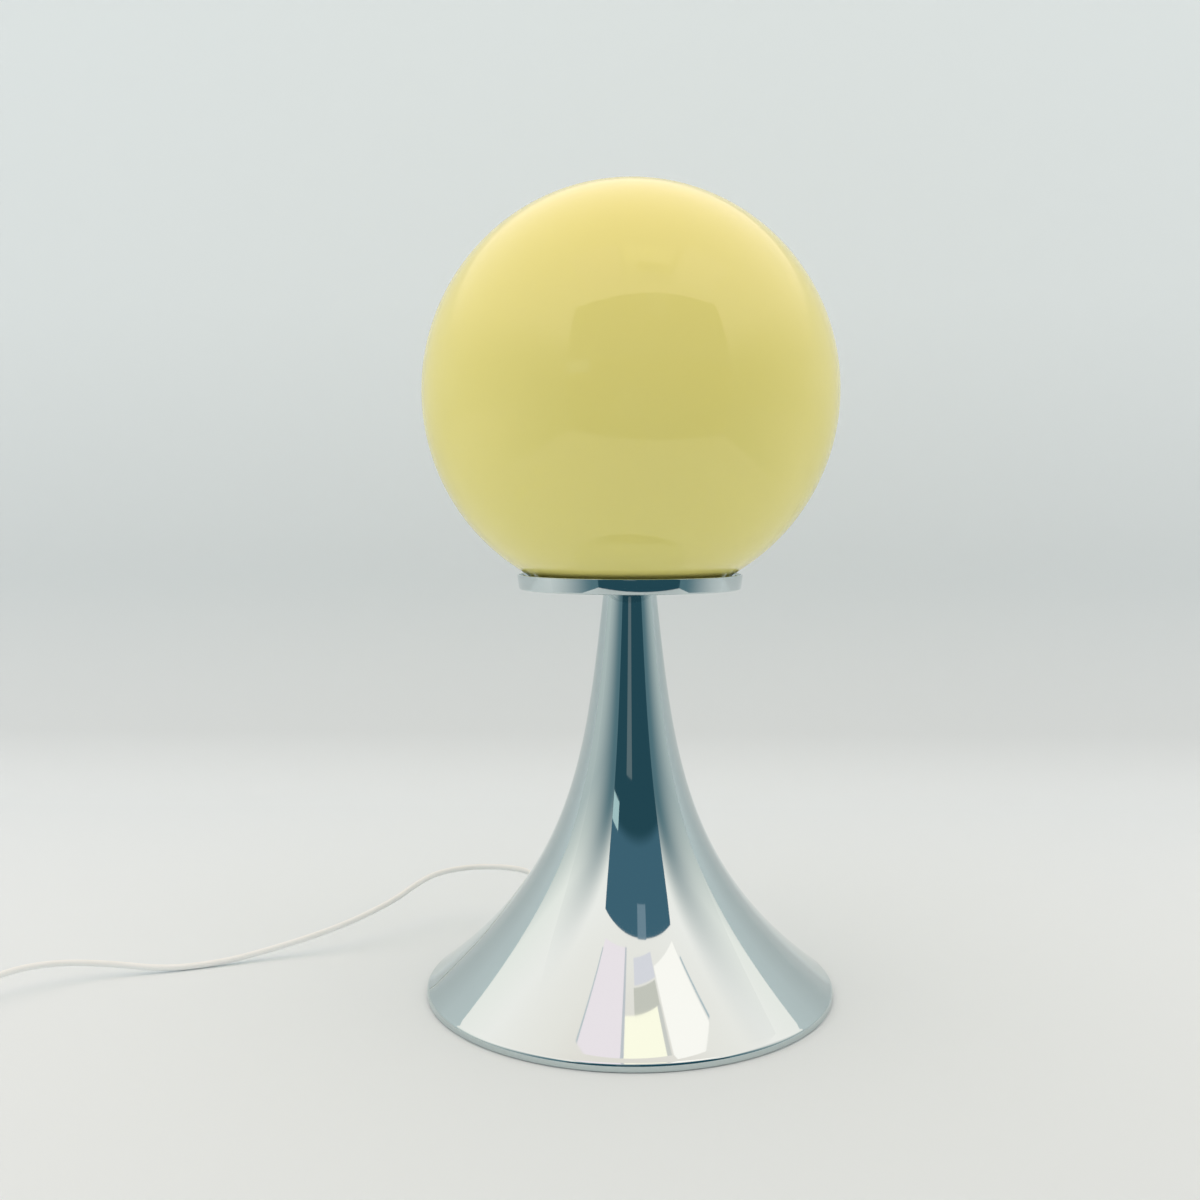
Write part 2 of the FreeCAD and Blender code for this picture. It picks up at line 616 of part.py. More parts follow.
core = turned("holder_core", [
    ("0", CORE_FLOOR),
    ("holder_radius - core_gap", CORE_FLOOR),
    ("holder_radius - core_gap", f"{CORE_FLOOR} + core_flange"),
    ("holder_radius - holder_wall - core_gap", f"{CORE_FLOOR} + core_flange"),
    ("holder_radius - holder_wall - core_gap", CORE_TOP),
    ("0", CORE_TOP),
])
for side in ("-", ""):
    rod("PartDesign::SubtractiveCylinder", "terminal_hole", "terminal_radius + thread_gap",
        "terminal_depth", (side + "terminal_spread", "0", CORE_FLOOR), None, core)

turned("holder_shell", [
    ("holder_radius - holder_wall", f"{CORE_FLOOR} + core_flange"),
    ("holder_radius", f"{CORE_FLOOR} + core_flange"),
    ("holder_radius", SHELL_TOP),
    ("holder_radius - holder_wall - shell_lip", SHELL_TOP),
    ("holder_radius - holder_wall - shell_lip", f"{SHELL_TOP} - holder_wall"),
    ("holder_radius - holder_wall", f"{SHELL_TOP} - holder_wall"),
], [("holder_radius", SHELL_TOP, "holder_wall / 2")])

SCREWSHELL = "(bulb_cap_radius + screwshell_gap)"
turned("holder_ring", [
    ("contact_reach + contact_width / 4", CORE_TOP),
    (f"{SCREWSHELL} + screwshell_wall", CORE_TOP),
    (f"{SCREWSHELL} + screwshell_wall", f"{CORE_TOP} + screwshell_height"),
    (SCREWSHELL, f"{CORE_TOP} + screwshell_height"),
    (SCREWSHELL, f"{CORE_TOP} + screwshell_wall"),
    ("contact_reach + contact_width / 4", f"{CORE_TOP} + screwshell_wall"),
])

contact = new_body("centre_contact")
strip = new_sketch(contact, "contact_outline", "XZ_Plane", "-contact_width / 2")
draw(strip, [
    ("-contact_reach", CORE_TOP),
    ("-contact_reach / 3", CORE_TOP),
    ("contact_reach / 6", f"{CORE_TOP} + contact_lift - contact_sheet"),
    ("contact_reach", f"{CORE_TOP} + contact_lift - contact_sheet"),
    ("contact_reach", f"{CORE_TOP} + contact_lift"),
    ("contact_reach / 6 - contact_sheet", f"{CORE_TOP} + contact_lift"),
    ("-contact_reach / 3 - contact_sheet", f"{CORE_TOP} + contact_sheet"),
    ("-contact_reach", f"{CORE_TOP} + contact_sheet"),
])
pad(contact, "contact_strip", strip, "contact_width")


def fused(name, pieces):
    """Join pieces into one solid."""
    item = document.addObject("Part::MultiFuse", name)
    item.Shapes = pieces
    return item


screws = []
for side in ("-", ""):
    spot = side + "terminal_spread"
    shank = rod("Part::Cylinder", "terminal_shank", "terminal_radius", "terminal_depth + terminal_drop",
                (spot, "0", f"{CORE_FLOOR} - terminal_drop"))
    head = rod("Part::Cylinder", "terminal_head_disc", "terminal_head", "terminal_head_height",
               (spot, "0", f"{CORE_FLOOR} - terminal_drop - terminal_head_height / 2"))
    screws.append(fused("terminal_screw", [shank, head]))
terminals = document.addObject("Part::Compound", "terminal_screws")
terminals.Links = screws
keep(terminals, "terminal_screws")

# ---------------------------------------------------------------- bulb

turned("bulb_tip", [
    ("0", BULB),
    ("bulb_tip_radius - bulb_tip_height / 3", BULB),
    ("bulb_tip_radius", f"{BULB} + bulb_tip_height"),
    ("0", f"{BULB} + bulb_tip_height"),
])

turned("bulb_insulator", [
    ("0", f"{BULB} + bulb_tip_height"),
    ("bulb_tip_radius + bulb_tip_height", f"{BULB} + bulb_tip_height"),
    ("bulb_glass_radius", BULB_CAP_FLOOR),
    ("0", BULB_CAP_FLOOR),
])

CAP_SHOULDER = "(bulb_cap_radius - bulb_glass_radius)"
turned("bulb_cap", [
    ("bulb_glass_radius / 2", BULB_CAP_FLOOR),
    ("bulb_glass_radius", BULB_CAP_FLOOR, ("arc", CAP_SHOULDER, 1)),
    ("bulb_cap_radius", f"{BULB_CAP_FLOOR} + {CAP_SHOULDER}"),
    ("bulb_cap_radius", f"{BULB_CAP_FLOOR} + bulb_cap_height"),
    ("bulb_cap_radius - bulb_cap_wall", f"{BULB_CAP_FLOOR} + bulb_cap_height"),
    ("bulb_cap_radius - bulb_cap_wall", f"{BULB_CAP_FLOOR} + {CAP_SHOULDER}", (
        "arc", f"{CAP_SHOULDER} - bulb_cap_wall", -1)),
    ("bulb_glass_radius", f"{BULB_CAP_FLOOR} + bulb_cap_wall"),
    ("bulb_glass_radius / 2", f"{BULB_CAP_FLOOR} + bulb_cap_wall"),
])

CAP_TOP = f"({BULB_CAP_FLOOR} + bulb_cap_height)"
turned("bulb_body", [
    ("0", f"{CAP_TOP} - bulb_cap_height / 4"),
    ("bulb_cap_radius - bulb_cap_wall - bulb_gap", f"{CAP_TOP} - bulb_cap_height / 4"),
    ("bulb_cap_radius - bulb_cap_wall - bulb_gap", CAP_TOP),
    ("bulb_cap_radius", CAP_TOP, (
        "curve",
        ("bulb_cap_radius", f"{CAP_TOP} + bulb_radius / 3"),
        ("bulb_seam_radius - bulb_radius / 5", f"{BULB_SEAM} - bulb_radius / 4"))),
    ("bulb_seam_radius", BULB_SEAM),
    ("0", BULB_SEAM),
])

BULB_INSIDE = "(bulb_radius - bulb_wall)"
turned("bulb_globe", [
    (f"sqrt({BULB_INSIDE}^2 - ({BULB_CENTRE} - {BULB_SEAM})^2)", BULB_SEAM),
    ("bulb_seam_radius", BULB_SEAM, ("arc", "bulb_radius", 1)),
    ("0", f"{BULB_CENTRE} + bulb_radius"),
    ("0", f"{BULB_CENTRE} + {BULB_INSIDE}", ("arc", BULB_INSIDE, -1)),
])

# ---------------------------------------------------------------- gland in the flare

gland = turned("cord_gland", [
    ("cord_diameter / 2 + cord_fit_gap", "-(trumpet_wall + gland_seat_gap + gland_lock_height)"),
    ("gland_lock_radius", "-(trumpet_wall + gland_seat_gap + gland_lock_height)"),
    ("gland_lock_radius", "-(trumpet_wall + gland_seat_gap)"),
    ("gland_stem_radius", "-(trumpet_wall + gland_seat_gap)"),
    ("gland_stem_radius", "gland_seat_gap"),
    ("gland_collar_radius", "gland_seat_gap"),
    ("gland_collar_radius", "gland_seat_gap + gland_collar_height"),
    ("gland_stem_radius", "gland_seat_gap + gland_collar_height"),
    ("gland_tail_radius", "gland_tail"),
    ("cord_diameter / 2 + cord_fit_gap", "gland_tail"),
])
gland.Placement = FreeCAD.Placement(EXIT, EXIT_TURN)
GLAND_MOUTH = EXIT + EXIT_WAY * number("gland_tail")

# ---------------------------------------------------------------- cords


def smooth_route(points, tight=()):
    """Lay straight runs joined by arcs; tight gives the radius of a corner by its number."""
    edges = []
    least = 1e9
    start = points[0]
    for place in range(1, len(points) - 1):
        before = points[place] - points[place - 1]
        after = points[place + 1] - points[place]
        half = before.getAngle(after) / 2
        short = min(before.Length, after.Length)
        radius = dict(tight).get(place, 0.45 * short / math.tan(half))
        back = radius * math.tan(half)
        least = min(least, radius)
        before.normalize()
        after.normalize()
        first = points[place] - before * back
        last = points[place] + after * back
        inward = after - before
        inward.normalize()
        middle = points[place] + inward * (radius / math.cos(half) - radius)
        edges.append(Part.LineSegment(start, first).toShape())
        edges.append(Part.Arc(first, middle, last).toShape())
        start = last
    edges.append(Part.LineSegment(start, points[-1]).toShape())
    wire = Part.Wire(edges)
    return wire, least


def tube_along(label, wire, width, start, way):
    """Sweep a round section along a route."""
    section = Part.Wire([Part.makeCircle(width / 2, start, way)])
    item = document.addObject("Part::Feature", label)
    item.Shape = wire.makePipeShell([section], True, False)
    return keep(item, label)


def laid_cord(label, points, width, tight=()):
    """Make a cord or a wire along its points."""
    wire, least = smooth_route(points, tight)
    item = tube_along(label, wire, width, points[0], points[1] - points[0])
    share = item.Shape.Volume / (math.pi * width ** 2 / 4 * wire.Length)
    print(f"{label}: {wire.Length:.1f} mm long, least radius {least:.1f} mm, volume share {share:.4f}")
    return item


def beside(reach, height):
    """Find a point inside the stand, on the exit's bearing."""
    return EXIT_SIDE * reach + UP * height


CORD = number("cord_diameter")

# From the gland's mouth down onto the plate, over the ballast's edge, through the slot and up
# inside the tie tube.
cable_floor = number(PLATE_TOP) + CORD / 2 + 0.5
landing = EXIT - EXIT_WAY * ((EXIT.z - cable_floor) / EXIT_WAY.z)
reach = number("ballast_radius")
step_top = number(BALLAST_TOP)
laid_cord("inner_cable", [
    GLAND_MOUTH,
    landing,
    beside(reach + 16, cable_floor + 0.7),
    beside(reach - 6, step_top + 5.6),
    beside(45, step_top + 12),
    beside(20, number("slot_height") + 0.5),
    beside(0, number("slot_height") + 8),
    beside(0, number(TUBE_TOP) + 2),
], CORD, [(1, 10.5), (6, 12)])

# The two insulated cores part above the cable's end and meet the terminal screws.
core_lift = number(CORE_FLOOR) - 1.5
for label, side in (("core_live", 1), ("core_neutral", -1)):
    near = FreeCAD.Vector(side * 0.95, 0, 0)
    far = FreeCAD.Vector(side * (number("terminal_spread - terminal_radius") - 0.1), 0, 0)
    laid_cord(label, [
        near + UP * (number(TUBE_TOP) + 2),
        near + UP * core_lift,
        far + UP * core_lift,
    ], number("core_wire_diameter"))

# The switch, the coil and the plug lie in a row beside the lamp.
SWITCH = FreeCAD.Vector(-398, -123, 0)
COIL = FreeCAD.Vector(-365, -210, 0)
PLUG = FreeCAD.Vector(-400, -260, 0)
CORD_ENTRY = number("cord_entry")

# From the gland the cord rises over its first bend, drops to the floor, runs along it, lifts
# once more and comes down into the switch.
first_bend = GLAND_MOUTH + EXIT_WAY * 9.5
level_way = FreeCAD.Vector(-0.985, 0.15, 0)
second_way = EXIT_WAY + level_way
second_way.normalize()
laid_cord("cord_run", [
    GLAND_MOUTH,
    first_bend,
    first_bend + second_way * 12,
    FreeCAD.Vector(-108, 128.5, 37.8),
    FreeCAD.Vector(-136, 115.5, 37),
    FreeCAD.Vector(-148.5, 95, 34.5),
    FreeCAD.Vector(-163, 77.5, 26.5),
    FreeCAD.Vector(-197, 57, 14.5),
    FreeCAD.Vector(-242, 36.5, 5),
    FreeCAD.Vector(-268, 24, 2.1),
    FreeCAD.Vector(-297, 12.5, 2.3),
    FreeCAD.Vector(-333, 6, 8.5),
    FreeCAD.Vector(-362, -11, 14.5),
    FreeCAD.Vector(-384, -33, 14.5),
    FreeCAD.Vector(SWITCH.x, SWITCH.y + 57, number("switch_half")),
    FreeCAD.Vector(SWITCH.x, SWITCH.y + number("switch_length") / 2 - CORD_ENTRY, number("switch_half")),
], CORD)

# Two flat layers of turns: in at the bottom, up through a layer at the middle, out on top.
pitch = number("cord_diameter + winding_gap")
widest = number("coil_radius")
turns = number("coil_turns")
floor_level = CORD / 2 + 0.02
growth = pitch / (2 * math.pi)
tightest = widest - pitch * turns


def coil_point(turned_by):
    """Find the coil's centre line after an angle; its way there comes from two near points."""
    inwards = 2 * math.pi * turns
    if turned_by <= inwards:
        radius = widest - growth * turned_by
        height = floor_level
    elif turned_by <= inwards + math.pi:
        past = turned_by - inwards
        radius = tightest - growth * past + growth * past ** 2 / math.pi
        height = floor_level + pitch * (1 - math.cos(past)) / 2
    else:
        radius = tightest + growth * (turned_by - inwards - math.pi)
        height = floor_level + pitch
    bearing = math.pi + turned_by
    return COIL + FreeCAD.Vector(radius * math.cos(bearing), radius * math.sin(bearing), height)


def joint_arcs(start, start_way, end, end_way):
    """Join two points by two arcs that keep both ways."""
    span = end - start
    ways = start_way + end_way
    scale = 2 * (1 - start_way.dot(end_way))
    along = span.dot(ways)
    reach = (-along + math.sqrt(along ** 2 + scale * span.dot(span))) / scale
    joint = (start + end + (start_way - end_way) * reach) / 2
    arcs = []
    for first, last, tangent in ((start, joint, start_way), (joint, end, end_way)):
        chord = last - first
        lean = tangent - chord * (tangent.dot(chord) / chord.dot(chord))
        half = tangent.getAngle(chord) / 2
        lean.normalize()
        side = 1 if first is start else -1
        middle = (first + last) / 2 + lean * (side * chord.Length / 2 * math.tan(half))
        arcs.append(Part.Arc(first, middle, last).toShape())
    return arcs


SOUTH = FreeCAD.Vector(0, -1, 0)
stations = [math.pi * step for step in range(int(2 * turns) + 1)]
stations += [stations[-1] + math.pi / 2, stations[-1] + math.pi]
stations += [stations[-1] + math.pi * step for step in range(1, int(2 * turns))]
spots = [coil_point(angle) for angle in stations]
ways = []
for angle in stations:
    way = coil_point(angle + 1e-4) - coil_point(angle - 1e-4)
    ways.append(way.normalize())
ways[0] = SOUTH
ways[-1] = SOUTH
coil_start = spots[0] - SOUTH * CORD
coil_end = spots[-1] + SOUTH * CORD
coil_edges = [Part.LineSegment(coil_start, spots[0]).toShape()]
for place in range(len(spots) - 1):
    coil_edges += joint_arcs(spots[place], ways[place], spots[place + 1], ways[place + 1])
coil_edges.append(Part.LineSegment(spots[-1], coil_end).toShape())
coil_wire = Part.Wire(coil_edges)
coil = tube_along("cord_coil", coil_wire, CORD, coil_start, SOUTH)

samples = coil_wire.discretize(Distance=2.0)
step_length = coil_wire.Length / (len(samples) - 1)
nearest = min(
    (samples[i] - samples[j]).Length
    for i in range(len(samples))
    for j in range(i + int(4 * CORD / step_length), len(samples)))
coil_share = coil.Shape.Volume / (math.pi * CORD ** 2 / 4 * coil_wire.Length)
print(f"cord_coil: {coil_wire.Length:.1f} mm long, least self gap {nearest - CORD:.2f} mm, "
      f"volume share {coil_share:.4f}")

laid_cord("cord_link", [
    FreeCAD.Vector(SWITCH.x, SWITCH.y - number("switch_length") / 2 + CORD_ENTRY, number("switch_half")),
    FreeCAD.Vector(SWITCH.x, SWITCH.y - 45, number("switch_half")),
    FreeCAD.Vector(coil_start.x, coil_start.y + 16, coil_start.z),
    coil_start,
], CORD)

laid_cord("cord_tail", [
    coil_end,
    coil_end + SOUTH * 14,
    FreeCAD.Vector(PLUG.x, PLUG.y + 10, number("plug_height / 2")),
    FreeCAD.Vector(PLUG.x, PLUG.y - CORD_ENTRY, number("plug_height / 2")),
], CORD)

# ---------------------------------------------------------------- inline switch

SIDE_RISE = "((switch_width - switch_end_width) / 2)"
SIDE_BEND = f"(switch_length^2 / 4 + {SIDE_RISE}^2) / (2 * {SIDE_RISE})"
BOAT = [
    ("-switch_end_width / 2", "-switch_length / 2", ("arc", SIDE_BEND, -1)),
    ("-switch_end_width / 2", "switch_length / 2"),
    ("switch_end_width / 2", "switch_length / 2", ("arc", SIDE_BEND, -1)),
    ("switch_end_width / 2", "-switch_length / 2"),
]


def box_outline(across, along):
    """List the corners of a rectangle about the middle."""
    return [
        (f"-{across}", f"-{along}"),
        (f"{across}", f"-{along}"),
        (f"{across}", f"{along}"),
        (f"-{across}", f"{along}"),
    ]


ROOM_ACROSS = "(rocker_width / 2 + rocker_gap)"
ROOM_ALONG = "(rocker_length / 2 + room_end_gap)"
WINDOW_ALONG = "(rocker_length / 2 + rocker_gap)"
SCREW_ACROSS = "(switch_width / 4 - screw_head / 4)"
CHANNEL = "(cord_diameter / 2 + cord_fit_gap)"
ENTRY = "(cord_entry + entry_room)"
SINK = "(screw_head_depth + screw_head_height)"
MID = "switch_half"


def switch_half_shell(label, level, room_level, depth, outer_level):
    """Make one half of the switch's shell with its room, cord channels and screw bores."""
    body = new_body(label)
    outline = new_sketch(body, label + "_outline", "XY_Plane", level)
    draw(outline, BOAT)
    feature = pad(body, label + "_block", outline, "switch_half")
    feature = round_edges(body, feature, label + "_corners", upright_edges(feature.Shape), "switch_round")
    rim = level_edges(feature.Shape, number(outer_level))
    round_edges(body, feature, label + "_rim", rim, "switch_round * 0.8")
    room = new_sketch(body, label + "_room", "XY_Plane", room_level)
    draw(room, box_outline(ROOM_ACROSS, ROOM_ALONG))
    pocket(body, label + "_hollow", room, depth)
    for end, start in (("a", "-switch_length / 2"), ("b", f"switch_length / 2 - {ENTRY}")):
        rod("PartDesign::SubtractiveCylinder", label + "_channel" + end, CHANNEL, ENTRY,
            ("0", start, MID), ALONG_Y, body)
    return body


base = switch_half_shell("switch_base", "0", "switch_half", "switch_half - holder_wall", "0")
cover = switch_half_shell(
    "switch_cover", "switch_half", "2 * switch_half - holder_wall", "switch_half - holder_wall",
    "2 * switch_half")
window = new_sketch(cover, "rocker_window", "XY_Plane", "2 * switch_half")
draw(window, box_outline(ROOM_ACROSS, WINDOW_ALONG))
pocket(cover, "rocker_opening", window, "holder_wall")
PIN_OUT = "(rocker_width / 2 + rocker_pin_reach)"
rod("PartDesign::SubtractiveCylinder", "rocker_pin_hole", "rocker_pin_radius + rocker_pin_gap",
    f"2 * {PIN_OUT} + 2 * rocker_gap", (f"-{PIN_OUT} - rocker_gap", "0", "rocker_pivot"), ALONG_X, cover)
switch_screws = []
for sign, other in (("", ""), ("-", "-")):
    across = f"{sign}{SCREW_ACROSS}"
    along = f"{other}screw_spread"
    rod("PartDesign::SubtractiveCylinder", "screw_bore", "screw_radius + screw_gap", "switch_half",
        (across, along, "0"), None, base)
    rod("PartDesign::SubtractiveCylinder", "screw_sink", "screw_head + screw_gap", SINK,
        (across, along, "0"), None, base)
    rod("PartDesign::SubtractiveCylinder", "screw_thread", "screw_radius + thread_gap",
        "screw_grip + screw_tip_room", (across, along, MID), None, cover)
    shank = rod("Part::Cylinder", "screw_shank", "screw_radius", f"switch_half + screw_grip - {SINK}",
                (across, along, SINK))
    head = rod("Part::Cylinder", "screw_disc", "screw_head", "screw_head_height",
               (across, along, "screw_head_depth"))
    switch_screws.append(fused("switch_screw", [shank, head]))
switch_fasteners = document.addObject("Part::Compound", "switch_screws")
switch_fasteners.Links = switch_screws
keep(switch_fasteners, "switch_screws")

rocker = new_body("switch_rocker")
rocker_outline = new_sketch(rocker, "rocker_outline", "YZ_Plane", "-rocker_width / 2")
END_TOP = "(rocker_length / 2 * sin(rocker_face_angle))"
END_OUT = "(rocker_length / 2 * cos(rocker_face_angle))"
LOW_TOP = "(rocker_length / 2 * sin(rocker_skirt_angle))"
LOW_OUT = "(rocker_length / 2 * cos(rocker_skirt_angle))"
draw(rocker_outline, [
    (LOW_OUT, f"-{LOW_TOP}", ("arc", "rocker_length / 2", 1)),
    (END_OUT, END_TOP),
    ("0", f"{END_TOP} - rocker_dip"),
    (f"-{END_OUT}", END_TOP, ("arc", "rocker_length / 2", 1)),
    (f"-{LOW_OUT}", f"-{LOW_TOP}"),
])
pad(rocker, "rocker_block", rocker_outline, "rocker_width")
rod("PartDesign::AdditiveCylinder", "rocker_pins", "rocker_pin_radius", f"2 * {PIN_OUT}",
    (f"-{PIN_OUT}", "0", "0"), ALONG_X, rocker)
tilt = FreeCAD.Rotation(FreeCAD.Vector(1, 0, 0), -number("rocker_tilt"))
rocker.Placement = FreeCAD.Placement(SWITCH + UP * number("rocker_pivot"), tilt)
for item in (base, cover, switch_fasteners):
    item.Placement = FreeCAD.Placement(SWITCH, FreeCAD.Rotation())

# ---------------------------------------------------------------- plug

plug = new_body("plug_body")
plug_outline = new_sketch(plug, "plug_outline", "XY_Plane")
draw(plug_outline, [
    ("plug_back_width / 2", "-boot_length"),
    ("-plug_back_width / 2", "-boot_length"),
    ("-plug_width / 2", "-boot_length - plug_length / 2"),
    ("-plug_width / 2", "-boot_length - plug_length"),
    ("plug_width / 2", "-boot_length - plug_length"),
    ("plug_width / 2", "-boot_length - plug_length / 2"),
])
block = pad(plug, "plug_block", plug_outline, "plug_height")
block = round_edges(plug, block, "plug_corners", upright_edges(block.Shape), "plug_round")
rims = level_edges(block.Shape, 0) + level_edges(block.Shape, number("plug_height"))
block = round_edges(plug, block, "plug_rims", rims, "plug_round * 0.8")
boot = plug.newObject("PartDesign::AdditiveCone", "plug_boot")
boot.Radius1 = number("boot_radius")
boot.setExpression("Radius1", bound("boot_radius"))
boot.Radius2 = number("boot_end_radius")
boot.setExpression("Radius2", bound("boot_end_radius"))
boot.Height = number("boot_length + 1")
boot.setExpression("Height", bound("boot_length + 1"))
place_at(boot, ("0", "-boot_length - 1", "plug_height / 2"), ALONG_Y)
FACE = "(-boot_length - plug_length)"
for side in ("-", ""):
    spot = f"{side}pin_spacing / 2"
    rod("PartDesign::AdditiveCylinder", "pin_sleeve", "sleeve_radius", "sleeve_length + 1",
        (spot, f"{FACE} - sleeve_length", "plug_height / 2"), ALONG_Y, plug)
for side in ("-", ""):
    spot = f"{side}pin_spacing / 2"
    rod("PartDesign::SubtractiveCylinder", "pin_bore", "pin_neck_radius + thread_gap",
        "sleeve_length + pin_root", (spot, f"{FACE} - sleeve_length", "plug_height / 2"), ALONG_Y, plug)
rod("PartDesign::SubtractiveCylinder", "plug_cord_bore", CHANNEL, ENTRY,
    ("0", f"-{ENTRY}", "plug_height / 2"), ALONG_Y, plug)
plug.Placement = FreeCAD.Placement(PLUG, FreeCAD.Rotation())

pins = []
for side in ("-", ""):
    spot = f"{side}pin_spacing / 2"
    neck = rod("Part::Cylinder", "pin_neck", "pin_neck_radius", "sleeve_length + pin_root",
               (spot, f"{FACE} - sleeve_length", "plug_height / 2"), ALONG_Y)
    tip = rod("Part::Cylinder", "pin_tip", "pin_radius", "pin_length - sleeve_length",
              (spot, f"{FACE} - pin_length", "plug_height / 2"), ALONG_Y)
    pins.append(fused("plug_pin", [neck, tip]))
plug_pins = document.addObject("Part::Compound", "plug_pins")
plug_pins.Links = pins
keep(plug_pins, "plug_pins")
plug_pins.Placement = FreeCAD.Placement(PLUG, FreeCAD.Rotation())

# ---------------------------------------------------------------- files

document.recompute()
for item in document.Objects:
    if "Invalid" in item.State or "Error" in item.State:
        raise RuntimeError(f"{item.Name} is not built: {item.State}")
os.makedirs("parts", exist_ok=True)
for item in PARTS:
    if item.Shape.isNull() or not item.Shape.isValid():
        raise RuntimeError(f"{item.Label} has no valid shape")
    item.Shape.exportStep(f"parts/{item.Label}.step")
print(f"{len(PARTS)} pieces written")
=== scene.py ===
import json
import math

import bmesh
import bpy
from mathutils import Matrix, Vector
from mathutils.geometry import interpolate_bezier


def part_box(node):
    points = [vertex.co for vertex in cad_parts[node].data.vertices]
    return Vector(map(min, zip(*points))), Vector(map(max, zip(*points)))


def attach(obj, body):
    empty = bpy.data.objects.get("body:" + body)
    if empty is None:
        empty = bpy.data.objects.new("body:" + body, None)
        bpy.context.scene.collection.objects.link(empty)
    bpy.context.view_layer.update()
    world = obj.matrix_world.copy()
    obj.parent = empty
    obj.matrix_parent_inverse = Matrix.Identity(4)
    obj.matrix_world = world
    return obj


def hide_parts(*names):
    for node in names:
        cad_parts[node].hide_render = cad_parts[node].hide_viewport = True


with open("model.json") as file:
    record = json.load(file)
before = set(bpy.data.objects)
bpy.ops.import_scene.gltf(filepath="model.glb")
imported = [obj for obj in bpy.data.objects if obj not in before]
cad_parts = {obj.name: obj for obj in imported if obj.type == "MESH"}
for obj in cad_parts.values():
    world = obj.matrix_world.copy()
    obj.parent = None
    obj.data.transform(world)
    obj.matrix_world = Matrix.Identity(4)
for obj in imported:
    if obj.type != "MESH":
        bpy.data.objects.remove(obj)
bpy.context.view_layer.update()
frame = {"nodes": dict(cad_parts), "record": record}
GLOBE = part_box("glass_globe")
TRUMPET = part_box("trumpet_base")

bl_info = {
    "name": "Glass globe table lamp",
    "version": (1, 0, 0),
    "blender": (4, 5, 0),
    "location": "3D View > Sidebar > Lamp",
    "description": "Dresses a chrome and opal glass table lamp and its studio",
    "category": "Object",
}

# ---------------------------------------------------------------- small tools


def mm(*values):
    """Millimetres to metres."""
    return tuple(value / 1000 for value in values)


def linear(code):
    """Turn an sRGB hex colour into Blender's linear one."""
    channels = [int(code[i:i + 2], 16) / 255 for i in (0, 2, 4)]
    return tuple(c / 12.92 if c <= 0.04045 else ((c + 0.055) / 1.055) ** 2.4 for c in channels)


def colour(code):
    """The same with a solid alpha."""
    return (*linear(code), 1.0)


def toned(body, *tones):
    """A solid colour with each channel brought down to its own share."""
    return (*(part * tone for part, tone in zip(body, tones)), 1.0)


def new_material(name):
    """Start a node material; gives it, its tree and its Principled shader."""
    material = bpy.data.materials.new(name)
    material.use_nodes = True
    tree = material.node_tree
    return material, tree, tree.nodes["Principled BSDF"]


def new_glow(name):
    """Start a material that only gives light; gives it, its tree and the socket for its surface."""
    material, tree, shader = new_material(name)
    tree.nodes.remove(shader)
    return material, tree, tree.nodes["Material Output"].inputs["Surface"]


def add(tree, kind, settings=None, inputs=None):
    """Add a node with its settings and its inputs; an input is a value or another node's socket."""
    node = tree.nodes.new(kind)
    for key, amount in (settings or {}).items():
        setattr(node, key, amount)
    for key, source in (inputs or {}).items():
        if isinstance(source, bpy.types.NodeSocket):
            tree.links.new(source, node.inputs[key])
        else:
            node.inputs[key].default_value = source
    return node


def paint(shader, **values):
    """Set the shader's own sockets."""
    for key, amount in values.items():
        shader.inputs[key.replace("_", " ")].default_value = amount


def grade(ramp, stops):
    """Give a colour ramp its stops, each a place and a linear colour."""
    marks = ramp.color_ramp.elements
    while len(marks) < len(stops):
        marks.new(0.5)
    for mark, (position, tone) in zip(marks, stops):
        mark.position = position
        mark.color = (*tone, 1.0)


def place(obj, body, nodes):
    """Put a finished piece in the scene, on its body and in place of its nodes."""
    bpy.context.scene.collection.objects.link(obj)
    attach(obj, body)
    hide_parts(*nodes)


def turned(name, outline, steps, material, axis_point=(0, 0, 0), axis=(0, 0, 1), sharp=30):
    """Spin an outline (radius, height) round an axis into a closed smooth shell."""
    mesh = bpy.data.meshes.new(name)
    shape = bmesh.new()
    corners = [shape.verts.new((radius, 0, height)) for radius, height in outline]
    edges = [shape.edges.new(pair) for pair in zip(corners, corners[1:] + corners[:1])]
    bmesh.ops.spin(
        shape, geom=corners + edges, cent=(0, 0, 0), axis=(0, 0, 1), angle=2 * math.pi,
        steps=steps, use_merge=True, use_normal_flip=False, use_duplicate=False)
    bmesh.ops.remove_doubles(shape, verts=shape.verts, dist=1e-6)
    bmesh.ops.recalc_face_normals(shape, faces=shape.faces)
    turn = Vector((0, 0, 1)).rotation_difference(Vector(axis)).to_matrix().to_4x4()
    bmesh.ops.transform(shape, matrix=Matrix.Translation(axis_point) @ turn, verts=shape.verts)
    shape.to_mesh(mesh)
    shape.free()
    mesh.shade_smooth()
    mesh.set_sharp_from_angle(angle=math.radians(sharp))
    mesh.materials.append(material)
    return bpy.data.objects.new(name, mesh)


def drawn_out(name, line, slide, material, sheet=False):
    """Draw a line of corners out into a flat card, or a bent sheet, by a straight slide."""
    shape = bmesh.new()
    corners = [shape.verts.new(corner) for corner in line]
    edges = [shape.edges.new(pair) for pair in zip(corners, corners[1:])]
    drawn = bmesh.ops.extrude_edge_only(shape, edges=edges)
    moved = [item for item in drawn["geom"] if isinstance(item, bmesh.types.BMVert)]
    bmesh.ops.translate(shape, verts=moved, vec=slide)
    if sheet:
        bmesh.ops.recalc_face_normals(shape, faces=shape.faces)
    mesh = bpy.data.meshes.new(name)
    shape.to_mesh(mesh)
    shape.free()
    if sheet:
        mesh.shade_smooth()
    mesh.materials.append(material)
    return bpy.data.objects.new(name, mesh)


